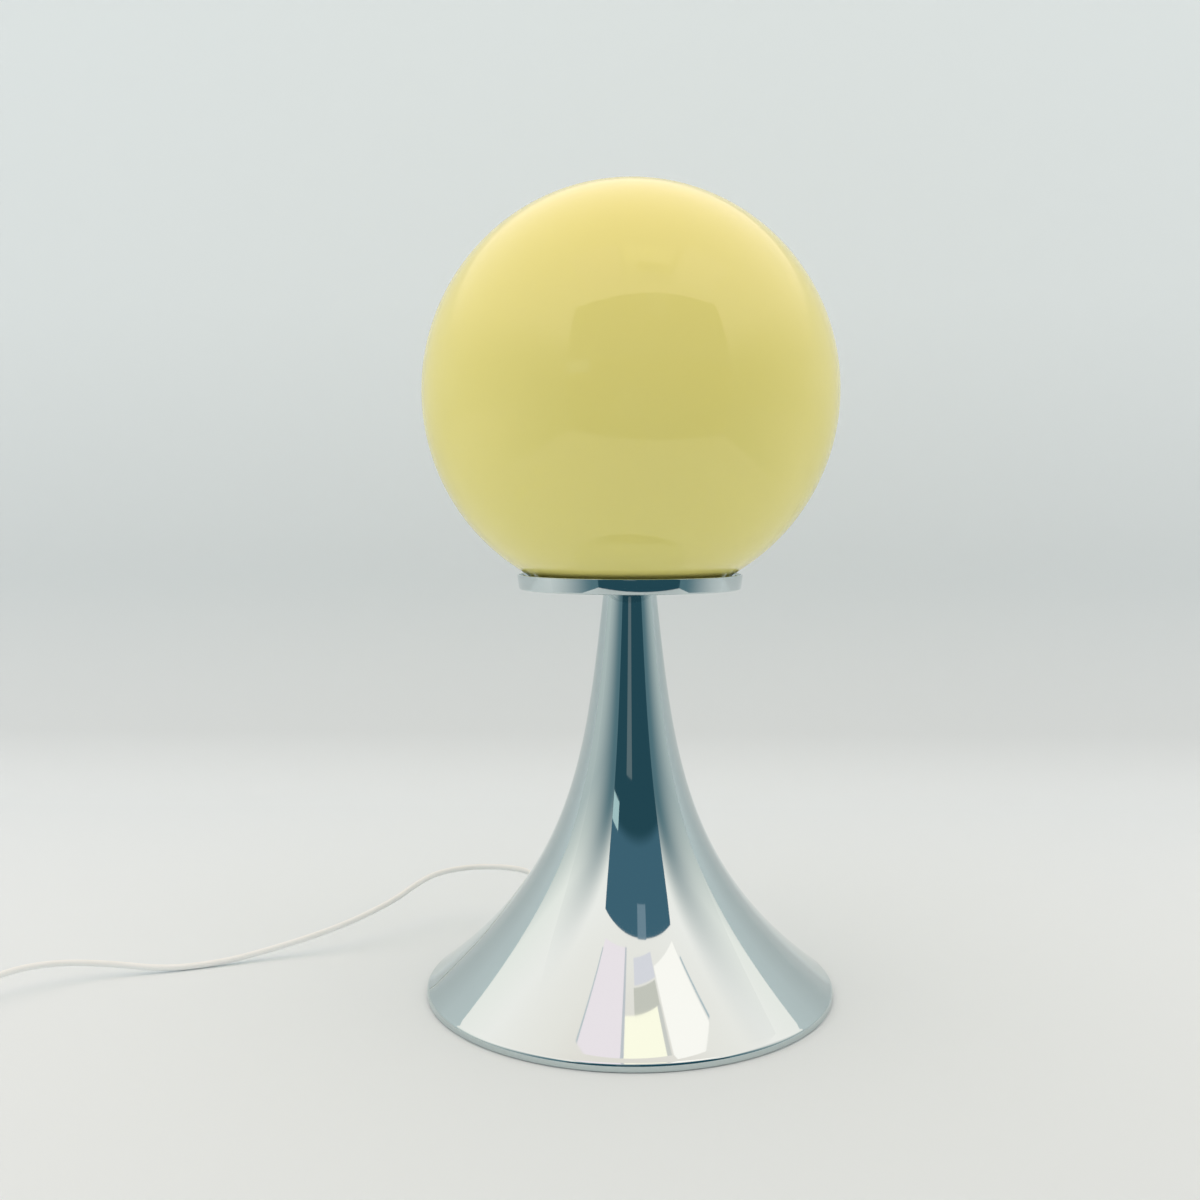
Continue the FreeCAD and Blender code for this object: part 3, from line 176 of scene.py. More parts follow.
def arc(centre, radius, first, last, count):
    """Points of an arc in degrees, ends included."""
    steps = [math.radians(first + (last - first) * i / (count - 1)) for i in range(count)]
    return [(centre[0] + radius * math.cos(a), centre[1] + radius * math.sin(a)) for a in steps]


def curve(start, pull_start, pull_end, end, count):
    """Points of a cubic curve, ends included."""
    flat = [Vector((x, y, 0)) for x, y in (start, pull_start, pull_end, end)]
    return [(p.x, p.y) for p in interpolate_bezier(*flat, count)]


# ---------------------------------------------------------------- sizes and colours a user may change


def length(name, description, default):
    """A length in metres, shown with its unit."""
    return bpy.props.FloatProperty(
        name=name, description=description, default=default, min=0.0, subtype="DISTANCE", unit="LENGTH")


def swatch(name, description, code):
    """A colour, kept linear as Blender wants it."""
    return bpy.props.FloatVectorProperty(
        name=name, description=description, subtype="COLOR", size=4, min=0.0, max=1.0, default=colour(code))


class LampShape(bpy.types.PropertyGroup):
    globe_radius: length(
        "Globe radius", "Outside radius of the glass globe", round(GLOBE[1].x - GLOBE[0].x, 5) / 2)
    glass: length("Glass", "Thickness of the globe's glass", 0.003)
    mouth_radius: length("Mouth radius", "Outside radius of the globe's ground mouth", 0.0468)
    seat: length("Seat", "Height of the dish's floor, on which the globe rests", round(GLOBE[0].z, 5))
    base_radius: length(
        "Base radius", "Outside radius of the trumpet's lip", round(TRUMPET[1].x - TRUMPET[0].x, 5) / 2)
    neck_radius: length("Neck radius", "Outside radius of the trumpet's neck", 0.0159)
    trumpet_height: length("Trumpet height", "Height of the neck's top", round(TRUMPET[1].z, 5))
    sheet: length("Sheet", "Thickness of the spun sheet", 0.0012)
    cord: length("Cord", "Diameter of the mains cord", 0.004)


class LampFinish(bpy.types.PropertyGroup):
    glass_body: swatch("Glass", "Yellow body of the opal glass", "f8ec8d")
    chrome: swatch("Chrome", "Tint of the chrome plating", "c8d3d4")
    cord: swatch("Cord", "Colour of the free cord's sheath", "f4f7f8")
    moulding: swatch("Mouldings", "Colour of the plug, the switch and the strain relief", "eceae4")
    floor: swatch("Floor", "Colour of the studio paper", "e2eaee")
    unlit_low: swatch("Unlit room", "The dark room in front of the tent, low down", "2e5562")
    unlit_high: swatch("Unlit room, upper part", "The same room higher up", "4e7689")


# ---------------------------------------------------------------- materials


def chrome_plate():
    """Bright chrome on spun and polished steel: a hard, slightly cold mirror. Polishing leaves
    rings 12.5 mm apart that barely bend a reflection, and wiping leaves a faint haze in patches
    of 22 mm. Real polishing rings are finer, and are drawn as coarse as they need to show."""
    material, tree, shader = new_material("chrome_plated_spun_steel")
    paint(shader, Base_Color=bpy.context.scene.lamp_finish.chrome, Metallic=1.0)
    where = add(tree, "ShaderNodeTexCoord")
    rings = add(
        tree, "ShaderNodeMapping",
        inputs={"Vector": where.outputs["Object"], "Scale": (1000 / 250, 1000 / 250, 1000 / 12.5)})
    ripple = add(
        tree, "ShaderNodeTexNoise",
        inputs={"Vector": rings.outputs["Vector"], "Scale": 1.0, "Detail": 1.0})
    bend = add(
        tree, "ShaderNodeBump",
        inputs={"Height": ripple.outputs["Fac"], "Strength": 0.02, "Distance": 0.0005})
    wipe = add(
        tree, "ShaderNodeTexNoise",
        inputs={"Vector": where.outputs["Object"], "Scale": 1000 / 22.2, "Detail": 4.0})
    haze = add(
        tree, "ShaderNodeMapRange", inputs={"Value": wipe.outputs["Fac"], "To Min": 0.015, "To Max": 0.05})
    tree.links.new(haze.outputs["Result"], shader.inputs["Roughness"])
    tree.links.new(bend.outputs["Normal"], shader.inputs["Normal"])
    return material


def opal_glass():
    """Cased opal glass, blown and fire-polished: a soft yellow body, evenly lit all through, under a
    clear skin with sharp reflections. The blown wall is a little thicker, and yellower, in places
    about 111 mm apart."""
    material, tree, shader = new_material("cased_opal_glass")
    body = bpy.context.scene.lamp_finish.glass_body
    paint(
        shader, Roughness=0.03, IOR=1.5, Subsurface_Weight=0.2, Subsurface_Radius=(1.0, 0.9, 0.6),
        Subsurface_Scale=0.02)
    where = add(tree, "ShaderNodeTexCoord")
    wall = add(
        tree, "ShaderNodeTexNoise",
        inputs={"Vector": where.outputs["Object"], "Scale": 1000 / 111, "Detail": 1.0})
    tint = add(
        tree, "ShaderNodeMix", {"data_type": "RGBA"},
        {"Factor": wall.outputs["Fac"], "A": body, "B": toned(body, 1.0, 0.99, 0.90)})
    skin = add(
        tree, "ShaderNodeBump",
        inputs={"Height": wall.outputs["Fac"], "Strength": 0.05, "Distance": 0.001})
    tree.links.new(tint.outputs["Result"], shader.inputs["Base Color"])
    tree.links.new(skin.outputs["Normal"], shader.inputs["Normal"])
    return material


def moulded(name, body, roughness, grain):
    """A moulded plastic, rubber or ceramic with the fine grain, in millimetres, that its mould leaves,
    and the slightly duller and darker patches, 25 mm across, that handling leaves."""
    material, tree, shader = new_material(name)
    paint(shader, IOR=1.46)
    where = add(tree, "ShaderNodeTexCoord")
    fine = add(
        tree, "ShaderNodeTexNoise",
        inputs={"Vector": where.outputs["Object"], "Scale": 1000 / grain, "Detail": 2.0})
    worn = add(
        tree, "ShaderNodeTexNoise",
        inputs={"Vector": where.outputs["Object"], "Scale": 1000 / 25, "Detail": 2.0})
    tint = add(
        tree, "ShaderNodeMix", {"data_type": "RGBA"},
        {"Factor": worn.outputs["Fac"], "A": body, "B": toned(body, 0.95, 0.94, 0.92)})
    gloss = add(
        tree, "ShaderNodeMapRange",
        inputs={"Value": worn.outputs["Fac"], "To Min": roughness * 0.85, "To Max": roughness * 1.2})
    skin = add(
        tree, "ShaderNodeBump",
        inputs={"Height": fine.outputs["Fac"], "Strength": 0.08, "Distance": 0.0002})
    tree.links.new(tint.outputs["Result"], shader.inputs["Base Color"])
    tree.links.new(gloss.outputs["Result"], shader.inputs["Roughness"])
    tree.links.new(skin.outputs["Normal"], shader.inputs["Normal"])
    return material


def worked_metal(name, body, roughness, grain):
    """A bare or plated metal whose crystals, rolling or casting, in millimetres, vary its gloss."""
    material, tree, shader = new_material(name)
    paint(shader, Metallic=1.0)
    where = add(tree, "ShaderNodeTexCoord")
    fine = add(
        tree, "ShaderNodeTexNoise",
        inputs={"Vector": where.outputs["Object"], "Scale": 1000 / grain, "Detail": 3.0})
    tint = add(
        tree, "ShaderNodeMix", {"data_type": "RGBA"},
        {"Factor": fine.outputs["Fac"], "A": body, "B": toned(body, 0.9, 0.9, 0.9)})
    gloss = add(
        tree, "ShaderNodeMapRange",
        inputs={"Value": fine.outputs["Fac"], "To Min": roughness * 0.7, "To Max": roughness * 1.4})
    tree.links.new(tint.outputs["Result"], shader.inputs["Base Color"])
    tree.links.new(gloss.outputs["Result"], shader.inputs["Roughness"])
    return material


# ---------------------------------------------------------------- trumpet and dish

# Steps round a large spun piece, and the radius of its hole for the tie tube.
SPUN_STEPS = 256
TUBE_HOLE = 0.0052

# The trumpet's lip stands upright from its edge to its top and then bends over into the flare, by
# these steps inwards and up. A crease beside each end keeps the upright band's shine straight.
LIP_EDGE = 0.0005
LIP_TOP = 0.0032
LIP_CREASE = 0.0003
LIP_BEND = (mm(0.15, 0.85), mm(0.6, 1.5), mm(1.4, 2.0))
# Two points (radius, height) pull the flare's one long curve up into the neck. The inner side lies
# a sheet's thickness behind it, square to the flare at its foot: so far inwards and down.
FLARE_PULL = mm(33.2, 75.4)
NECK_PULL = mm(27.3, 143.6)
BEHIND_FLARE = mm(0.74, 0.95)


def behind(point):
    """The inner side's point for one of the flare's."""
    return (point[0] - BEHIND_FLARE[0], point[1] - BEHIND_FLARE[1])


class LAMP_OT_trumpet(bpy.types.Operator):
    """Spin the chrome trumpet stand"""
    bl_idname = "lamp.trumpet"
    bl_label = "Trumpet stand"

    def execute(self, context):
        shape = context.scene.lamp_shape
        sheet = shape.sheet
        base = shape.base_radius
        neck = shape.neck_radius
        top = shape.trumpet_height
        *bend, foot = [(base - inwards, LIP_TOP + up) for inwards, up in LIP_BEND]
        lip = [(base - sheet, LIP_EDGE), (base, LIP_EDGE), (base, LIP_EDGE + LIP_CREASE)]
        lip += [(base, LIP_TOP - LIP_CREASE), (base, LIP_TOP)] + bend
        outer = curve(foot, FLARE_PULL, NECK_PULL, (neck, top), count=97)
        roof = [(TUBE_HOLE, top), (TUBE_HOLE, top - sheet)]
        inner = curve(
            (neck - sheet, top - sheet), (NECK_PULL[0] - sheet, NECK_PULL[1]), behind(FLARE_PULL),
            behind(foot), count=49)
        outline = lip + outer + roof + inner + [(base - sheet, LIP_TOP)]
        chrome = bpy.data.materials["chrome_plated_spun_steel"]
        piece = turned("trumpet", outline, SPUN_STEPS, chrome)
        place(piece, "lamp", ["trumpet_base"])
        return {"FINISHED"}


# The dish, in millimetres: its sheet and depth, and the radii of its foot and its rim, outside, and
# of its foot inside, each with its rounding. Its wall leans out by so many degrees.
DISH_SHEET = 1.2
DISH_DEPTH = 9
DISH_FOOT, FOOT_ROUND = 67.5, 1.0
DISH_RIM, RIM_ROUND = 68.5, 0.45
DISH_INNER_FOOT, INNER_ROUND = 66.5, 0.6
DISH_LEAN = 6
# The bead that centres the globe: the radius of its ring, and its crown's bend, whose middle lies a
# little under the dish. Each end gives the angle at which the bend meets the sheet.
BEAD_RING = 34.27
BEAD_BEND, BEAD_END = 3.4, 28.07
BEAD_UNDERSIDE_END = 10.5
BEAD_DROP = 0.4


class LAMP_OT_dish(bpy.types.Operator):
    """Spin the shallow chrome dish with its rolled rim and centring bead"""
    bl_idname = "lamp.dish"
    bl_label = "Dish"

    def execute(self, context):
        under = context.scene.lamp_shape.trumpet_height * 1000
        seat = under + DISH_SHEET
        round_height = under + DISH_DEPTH - RIM_ROUND
        bead = (BEAD_RING, under - BEAD_DROP)
        hole = TUBE_HOLE * 1000
        outline = [(hole, under)]
        outline += arc(
            bead, BEAD_BEND - DISH_SHEET, 180 - BEAD_UNDERSIDE_END, BEAD_UNDERSIDE_END, count=13)
        outline += arc(
            (DISH_FOOT - FOOT_ROUND, under + FOOT_ROUND), FOOT_ROUND, -90, -DISH_LEAN, count=9)
        outline += arc((DISH_RIM - RIM_ROUND, round_height), RIM_ROUND, -DISH_LEAN, 90, count=7)
        outline += arc(
            (DISH_RIM - DISH_SHEET + RIM_ROUND, round_height), RIM_ROUND, 90, 180, count=7)
        outline += arc(
            (DISH_INNER_FOOT - INNER_ROUND, seat + INNER_ROUND), INNER_ROUND, -DISH_LEAN, -90, count=7)
        outline += arc(bead, BEAD_BEND, BEAD_END, 180 - BEAD_END, count=17)
        outline.append((hole, seat))
        outline = [mm(*corner) for corner in outline]
        chrome = bpy.data.materials["chrome_plated_spun_steel"]
        piece = turned("dish", outline, SPUN_STEPS, chrome, sharp=35)
        place(piece, "lamp", ["gallery_dish"])
        return {"FINISHED"}


# ---------------------------------------------------------------- globe

GLOBE_STEPS = 192


class LAMP_OT_globe(bpy.types.Operator):
    """Blow the opal glass globe"""
    bl_idname = "lamp.globe"
    bl_label = "Glass globe"

    def execute(self, context):
        shape = context.scene.lamp_shape
        radius = shape.globe_radius
        inside = radius - shape.glass
        rise = math.sqrt(radius ** 2 - shape.mouth_radius ** 2)
        centre = (0, shape.seat + rise)
        low = -math.degrees(math.asin(rise / radius))
        low_inside = -math.degrees(math.asin(rise / inside))
        outline = arc(centre, radius, low, 90, count=97) + arc(centre, inside, 90, low_inside, count=65)
        outline = [(max(x, 0.0), z) for x, z in outline]
        piece = turned("opal_globe", outline, GLOBE_STEPS, bpy.data.materials["cased_opal_glass"])
        place(piece, "globe", ["glass_globe"])
        return {"FINISHED"}


# ---------------------------------------------------------------- cord and strain relief

# The cord's routes: the same points as in the part's source.
RUN_ROUTE = [mm(*point) for point in (
    (-63.44, 109.88, 25.39), (-66.46, 115.11, 32.73), (-75.83, 120.15, 38.28),
    (-108, 128.5, 37.8), (-136, 115.5, 37), (-148.5, 95, 34.5), (-163, 77.5, 26.5),
    (-197, 57, 14.5), (-242, 36.5, 5), (-268, 24, 2.1), (-297, 12.5, 2.3), (-333, 6, 8.5),
    (-362, -11, 14.5), (-384, -33, 14.5), (-398, -66, 8), (-398, -100, 8))]
LINK_ROUTE = [mm(*point) for point in (
    (-398, -146, 8), (-398, -168, 8), (-398, -190, 2.02), (-398, -206, 2.02))]
TAIL_ROUTE = [mm(*point) for point in (
    (-395.7, -214, 6.62), (-395.7, -228, 6.62), (-400, -250, 6.85), (-400, -268, 6.85))]
# The coil of what is put away: its middle, its outer turn's radius, the room from one turn or layer
# to the next, the turns in a layer, the height at which a cord lies on the table, and how many
# points draw one turn.
COIL_MIDDLE = (-0.365, -0.210)
COIL_RADIUS = 0.033
COIL_PITCH = 0.0046
COIL_TURNS = 4
CORD_LEVEL = 0.00202
POINTS_A_TURN = 16


def coil_route():
    """Two flat layers of turns: in below, up a layer in half a turn, out on top."""
    points = []
    growth = COIL_PITCH / POINTS_A_TURN
    inward = COIL_TURNS * POINTS_A_TURN
    climb = POINTS_A_TURN // 2
    tightest = COIL_RADIUS - growth * inward
    for step in range(2 * inward + 1):
        if step <= inward:
            radius = COIL_RADIUS - growth * step
            height = CORD_LEVEL
        elif step <= inward + climb:
            past = (step - inward) / climb
            radius = tightest - growth * climb * past * (1 - past)
            height = CORD_LEVEL + COIL_PITCH * (1 - math.cos(math.pi * past)) / 2
        else:
            radius = tightest + growth * (step - inward - climb)
            height = CORD_LEVEL + COIL_PITCH
        bearing = math.pi + 2 * math.pi * step / POINTS_A_TURN
        points.append((
            COIL_MIDDLE[0] + radius * math.cos(bearing), COIL_MIDDLE[1] + radius * math.sin(bearing),
            height))
    return points


def cord_curve(name, points, material):
    """Lay a cord through its route as one smooth curve."""
    line = bpy.data.curves.new(name, "CURVE")
    line.dimensions = "3D"
    line.resolution_u = 6
    line.bevel_depth = bpy.context.scene.lamp_shape.cord / 2
    line.bevel_resolution = 4
    line.use_fill_caps = True
    spline = line.splines.new("NURBS")
    spline.points.add(len(points) - 1)
    for point, spot in zip(spline.points, points):
        point.co = (*spot, 1.0)
    spline.order_u = 3
    spline.use_endpoint_u = True
    line.materials.append(material)
    return bpy.data.objects.new(name, line)


class LAMP_OT_cord(bpy.types.Operator):
    """Lay the mains cord, in two lengths with the inline switch between them"""
    bl_idname = "lamp.cord"
    bl_label = "Mains cord"

    def execute(self, context):
        scene = context.scene
        # Soft white PVC drawn over the cores: smooth, with a dull wax-like shine.
        sheath = moulded("pvc_cord_sheath", scene.lamp_finish.cord, 0.42, 1.5)
        run = cord_curve("lamp_cord", RUN_ROUTE, sheath)
        place(run, "lamp", ["cord_run"])
        lead = cord_curve("plug_cord", LINK_ROUTE + coil_route() + TAIL_ROUTE, sheath)
        place(lead, "lamp", ["cord_link", "cord_coil", "cord_tail"])
        return {"FINISHED"}


# The strain relief, in millimetres. Its radii: the cord's hole, the stem in the sheet's hole, the
# collar that locks it inside and the one that shows outside. Along it, from the sheet's outer face:
# the two faces of each collar, and the tail's end. The eases take off the collar's two edges.
RELIEF_HOLE = 2.08
RELIEF_STEM = 4.2
LOCK_RADIUS, LOCK_FACES = 5.2, (-3.65, -1.45)
COLLAR_RADIUS, COLLAR_FACES = 6.0, (0.25, 1.85)
BACK_EASE, FRONT_EASE = 0.2, 0.3
TAIL_END_RADIUS, TAIL_END = 2.9, 18.0
# The tail's ribs: how many, where the first one starts, how far apart they are, and one rib's
# corners as steps inwards from its crest and on. The tapered tail's radius gives each crest.
RIBS = 5
RIB_START = 3.0
RIB_PITCH = 2.7
RIB_CORNERS = ((0, 0), (0.55, 0.25), (0.6, 0.85), (0.1, 1.1))
TAIL_RADIUS, TAIL_TAPER = 4.15, 0.08
RELIEF_STEPS = 48
# Where it sits in the flare, and which way the cord leaves through it.
RELIEF_PLACE = mm(-57.716, 99.967, 11.5)
RELIEF_WAY = (-0.31785, 0.55053, 0.77194)


class LAMP_OT_gland(bpy.types.Operator):
    """Turn the ribbed strain relief at the back of the flare"""
    bl_idname = "lamp.gland"
    bl_label = "Cord gland"

    def execute(self, context):
        # Soft moulded PVC: the mouldings' colour with a duller, more rubbery skin.
        soft = moulded("soft_pvc_relief", context.scene.lamp_finish.moulding, 0.45, 1.0)
        lock_back, lock_front = LOCK_FACES
        collar_back, collar_front = COLLAR_FACES
        outline = [
            (RELIEF_HOLE, lock_back), (LOCK_RADIUS, lock_back), (LOCK_RADIUS, lock_front),
            (RELIEF_STEM, lock_front), (RELIEF_STEM, collar_back),
            (COLLAR_RADIUS - BACK_EASE, collar_back), (COLLAR_RADIUS, collar_back + BACK_EASE),
            (COLLAR_RADIUS, collar_front - FRONT_EASE), (COLLAR_RADIUS - FRONT_EASE, collar_front),
            (RELIEF_STEM, collar_front)]
        for rib in range(RIBS):
            low = RIB_START + rib * RIB_PITCH
            crest = TAIL_RADIUS - TAIL_TAPER * low
            outline += [(crest - inwards, low + on) for inwards, on in RIB_CORNERS]
        outline += [
            (TAIL_END_RADIUS, TAIL_END - FRONT_EASE), (TAIL_END_RADIUS - BACK_EASE, TAIL_END),
            (RELIEF_HOLE, TAIL_END)]
        outline = [mm(*corner) for corner in outline]
        piece = turned("strain_relief", outline, RELIEF_STEPS, soft, RELIEF_PLACE, RELIEF_WAY)
        place(piece, "lamp", ["cord_gland"])
        return {"FINISHED"}


# ---------------------------------------------------------------- fittings


def fitting_finishes():
    """The finish of each carried-over fitting, by its slot: name, colour, roughness and grain in mm."""
    return {
        # Turned steel with bright zinc: a cold grey metal with a soft, slightly broken shine.
        "plated_steel": worked_metal("zinc_plated_steel", colour("c3c6c8"), 0.3, 3.0),
        # Rolled sheet with zinc, the bottom cover: greyer and duller, with larger crystals.
        "sheet_steel": worked_metal("zinc_plated_sheet", colour("a9acae"), 0.38, 6.0),
        # Sand-cast iron, the ballast: dark, rough and almost without shine.
        "ballast_iron": worked_metal("cast_iron", colour("55575a"), 0.55, 2.0),
        # Moulded rubber, the foot ring: near black and matt.
        "foot_rubber": moulded("moulded_rubber", colour("2c2d2f"), 0.75, 0.8),
        # Pressed phenolic, the lampholder: black with a satin skin.
        "holder_plastic": moulded("phenolic_moulding", colour("232324"), 0.35, 1.0),
        # Pressed and fired steatite, the holder's core: warm white, dry and unglazed.
        "holder_ceramic": moulded("unglazed_steatite", colour("efece4"), 0.6, 0.6),
        # Pressed brass strip, contacts and screw shell: warm yellow and bright.
        "contact_brass": worked_metal("pressed_brass", colour("d4b468"), 0.25, 2.0),
        # Frosted polycarbonate, the bulb's envelope: milk white with a satin skin.
        "bulb_opal": moulded("frosted_polycarbonate", colour("f4f3ee"), 0.35, 1.0),
        # Moulded PBT, the bulb's housing: white and a little duller than its envelope.
        "bulb_plastic": moulded("bulb_housing_plastic", colour("f0efea"), 0.4, 1.0),
        # Deep-drawn aluminium, the bulb's screw cap: pale and bright, with a fine grain.
        "bulb_cap_metal": worked_metal("drawn_aluminium", colour("cfd1d3"), 0.25, 1.0),
        # Black glass, fused round the bulb's tip: nearly black with a wet shine.
        "bulb_insulator_glass": moulded("black_glass_insulator", colour("1d1d20"), 0.12, 3.0),
        # Glossy thermoplastic, plug and switch: off-white with a clean moulded shine.
        "white_plastic": moulded(
            "glossy_thermoplastic", bpy.context.scene.lamp_finish.moulding, 0.28, 1.2),
        # The same plastic in the rocker: a shade darker, where fingers touch it.
        "rocker_plastic": moulded("rocker_thermoplastic", colour("e2e0d9"), 0.3, 1.2),
        # Extruded PVC on the cores, brown and blue: plain, with a dull shine.
        "core_brown": moulded("brown_core_pvc", colour("6b4026"), 0.45, 0.8),
        "core_blue": moulded("blue_core_pvc", colour("2f5f9e"), 0.45, 0.8),
        # Extruded PVC, the sheath of the cable inside the stand: a warmer white than the free cord.
        "cord_sheath": moulded("pvc_inner_sheath", colour("efede7"), 0.42, 1.5),
        # Brass pins with bright nickel: a pale, slightly warm mirror, duller in small patches.
        "pin_nickel": worked_metal("nickel_plated_brass", colour("cfcfcc"), 0.16, 1.5),
    }


class LAMP_OT_fittings(bpy.types.Operator):
    """Give each carried-over fitting the finish of the real one"""
    bl_idname = "lamp.fittings"
    bl_label = "Fittings"

    def execute(self, context):
        finishes = fitting_finishes()
        for part in frame["record"]["subparts"]:
            finish = finishes.get(part["material_slot"])
            if finish:
                mesh = frame["nodes"][part["node"]].data
                mesh.materials.clear()
                mesh.materials.append(finish)
        return {"FINISHED"}


# ---------------------------------------------------------------- studio

# The studio paper, in metres: how far it reaches to each side and to the front, where it starts to
# sweep up behind the lamp, the sweep's bend, and the top of its upright part. The two points between
# hold its shading even. Its tone by height is painted shade and light, a share of the paper's own
# colour: darker just above the floor, lighter up the upright part.
PAPER_REACH = 3.0
SWEEP_START = 0.48
SWEEP_BEND = 0.22
PAPER_TOP = 0.95
PAPER_FRONT_POINT = -0.5
PAPER_UPRIGHT_POINT = 0.5
# Painted shade and light: (height, share of the paper's colour), darker low on the sweep and lighter high
# up.
PAPER_PAINTED_SHADE = ((0.0, 1.0), (0.05, 0.87), (0.25, 0.90), (0.54, 1.02), (0.85, 1.06))

# A white tent stands round the lamp. Its front is open to the unlit room, and the chrome shows that
# dark opening: the floor point before the lamp, how far it is turned, its two ends and its height.
OPENING = (0.1268, -0.7189)
OPENING_TURN = math.radians(10)
OPENING_ENDS = (-0.625, 0.60)
OPENING_HEIGHT = 1.055
# The dimly lit side walls beside the opening: how far they reach into the tent, and how high.
WALL_REACH = 0.75
WALL_HEIGHT = 0.85
WALL_RADIANCE = (0.13, 0.24, 0.28)
# The soft light that comes in through the opening.
ROOM_RADIANCE = (0.55, 0.55, 0.52)
# How the light comes down in the tent: sine of the height over the horizon, linear radiance.
TENT_LIGHT = (
    (0.00, (0.66, 0.71, 0.69)), (0.20, (0.67, 0.72, 0.70)), (0.34, (0.92, 0.92, 0.86)),
    (0.50, (1.30, 1.22, 1.13)), (0.72, (1.40, 1.27, 1.20)), (0.90, (1.32, 1.18, 1.09)),
    (1.00, (1.22, 1.06, 0.96)))
BRIGHTEST = 1.4
# What the unlit room holds: name, start and end along the opening, low and high, radiance. Each
# stands a little inside the opening.
FAR_LIGHT_INSET = 0.01
FAR_LIGHTS = (
    ("far_window", -0.61, -0.40, 0.44, 0.53, (0.6, 0.8, 0.8)),
    ("far_doorway", -0.21, -0.06, 0.15, 0.36, (0.16, 0.22, 0.24)),
    ("far_ceiling", 0.0, 0.13, 0.80, 1.05, (0.24, 0.35, 0.43)))
# The tent's cloth roof over the opening, in panels with seams: name, x, y and radiance.
CEILING_HEIGHT = 1.2
CEILING = (
    ("roof_left_panel", (-0.41, -0.065), (-0.76, -0.30), (1.38, 1.16, 1.20)),
    ("roof_left_seam", (-0.425, -0.41), (-0.70, -0.30), (0.80, 0.82, 0.84)),
    ("roof_middle_seam", (-0.065, -0.04), (-0.76, -0.30), (0.86, 0.82, 0.86)),
    ("roof_front_patch", (0.06, 0.32), (-0.70, -0.57), (1.12, 1.02, 1.08)),
    ("roof_grey_patch", (0.05, 0.31), (-0.56, -0.46), (0.92, 0.84, 0.74)),
    ("roof_cream_panel", (-0.04, 0.28), (-0.46, -0.30), (1.66, 1.48, 1.18)),
    ("roof_right_seam", (0.28, 0.315), (-0.46, -0.30), (0.98, 0.90, 0.84)),
    ("roof_right_panel", (0.33, 0.72), (-0.62, -0.20), (1.62, 1.44, 1.34)),
    ("roof_end_seam", (0.735, 0.755), (-0.50, -0.20), (0.70, 0.76, 0.80)))

# The camera, as fitted to the photograph: its place, its directions right, up and back, and its lens
# on a 36 mm sensor.
CAMERA_PLACE = mm(0, -756.1964, 290.2026)
CAMERA_WAYS = (
    (0.99971104, 0.02403796, -0.00010805),
    (-0.00148715, 0.06633375, 0.99779638),
    (0.02399215, -0.9975079, 0.06635033))
CAMERA_LENS = 37.2407


def studio_paper():
    """Matt studio paper: hardly any gloss, a soft shadow, and painted shade and light in a tone that
    changes with the height.
    """
    material, tree, shader = new_material("matt_studio_paper")
    paint(shader, Roughness=0.9, Specular_IOR_Level=0.1)
    body = bpy.context.scene.lamp_finish.floor[:3]
    where = add(tree, "ShaderNodeTexCoord")
    split = add(tree, "ShaderNodeSeparateXYZ", inputs={"Vector": where.outputs["Object"]})
    shade = add(tree, "ShaderNodeValToRGB", inputs={"Fac": split.outputs["Z"]})
    # Painted shade and light: the paper's one colour darkened just above the floor and lightened up the
    # upright part.
    grade(shade, [(height, [part * tone for part in body]) for height, tone in PAPER_PAINTED_SHADE])
    tree.links.new(shade.outputs["Color"], shader.inputs["Base Color"])
    return material


def unlit_room():
    """The unlit room: a dark teal below, and a lighter one over the height of a table."""
    material, tree, surface = new_glow("unlit_room")
    finish = bpy.context.scene.lamp_finish
    where = add(tree, "ShaderNodeTexCoord")
    split = add(tree, "ShaderNodeSeparateXYZ", inputs={"Vector": where.outputs["Generated"]})
    rise = add(
        tree, "ShaderNodeMapRange", {"interpolation_type": "SMOOTHSTEP"},
        {"Value": split.outputs["Z"], "From Min": 0.46, "From Max": 0.52})
    tone = add(
        tree, "ShaderNodeMix", {"data_type": "RGBA"},
        {"Factor": rise.outputs["Result"], "A": finish.unlit_low, "B": finish.unlit_high})
    glow = add(tree, "ShaderNodeEmission", inputs={"Color": tone.outputs["Result"]})
    tree.links.new(glow.outputs["Emission"], surface)
    return material


def dim_wall():
    """The tent's side wall where it gets little light: dark by the opening, and fading out upwards
    and towards the lamp, where the wall is as bright as the rest of the tent."""
    material, tree, surface = new_glow("dim_tent_wall")
    where = add(tree, "ShaderNodeTexCoord")
    split = add(tree, "ShaderNodeSeparateXYZ", inputs={"Vector": where.outputs["Generated"]})
    inward = add(
        tree, "ShaderNodeMapRange", {"interpolation_type": "SMOOTHSTEP"},
        {"Value": split.outputs["Y"], "From Min": 0.15, "From Max": 1.15, "To Min": 1.0, "To Max": 0.0})
    upward = add(
        tree, "ShaderNodeMapRange", {"interpolation_type": "SMOOTHSTEP"},
        {"Value": split.outputs["Z"], "From Min": 0.45, "From Max": 0.95, "To Min": 1.0, "To Max": 0.0})
    solid = add(
        tree, "ShaderNodeMath", {"operation": "MULTIPLY"},
        {0: inward.outputs["Result"], 1: upward.outputs["Result"]})
    clear = add(tree, "ShaderNodeBsdfTransparent")
    glow = add(tree, "ShaderNodeEmission", inputs={"Color": (*WALL_RADIANCE, 1.0)})
    both = add(
        tree, "ShaderNodeMixShader",
        inputs={0: solid.outputs["Value"], 1: clear.outputs["BSDF"], 2: glow.outputs["Emission"]})
    tree.links.new(both.outputs["Shader"], surface)
    return material


def plain_glow(name, radiance):
    """Plain even light of one colour."""
    material, tree, surface = new_glow(name)
    glow = add(tree, "ShaderNodeEmission", inputs={"Color": (*radiance, 1.0)})
    tree.links.new(glow.outputs["Emission"], surface)
    return material


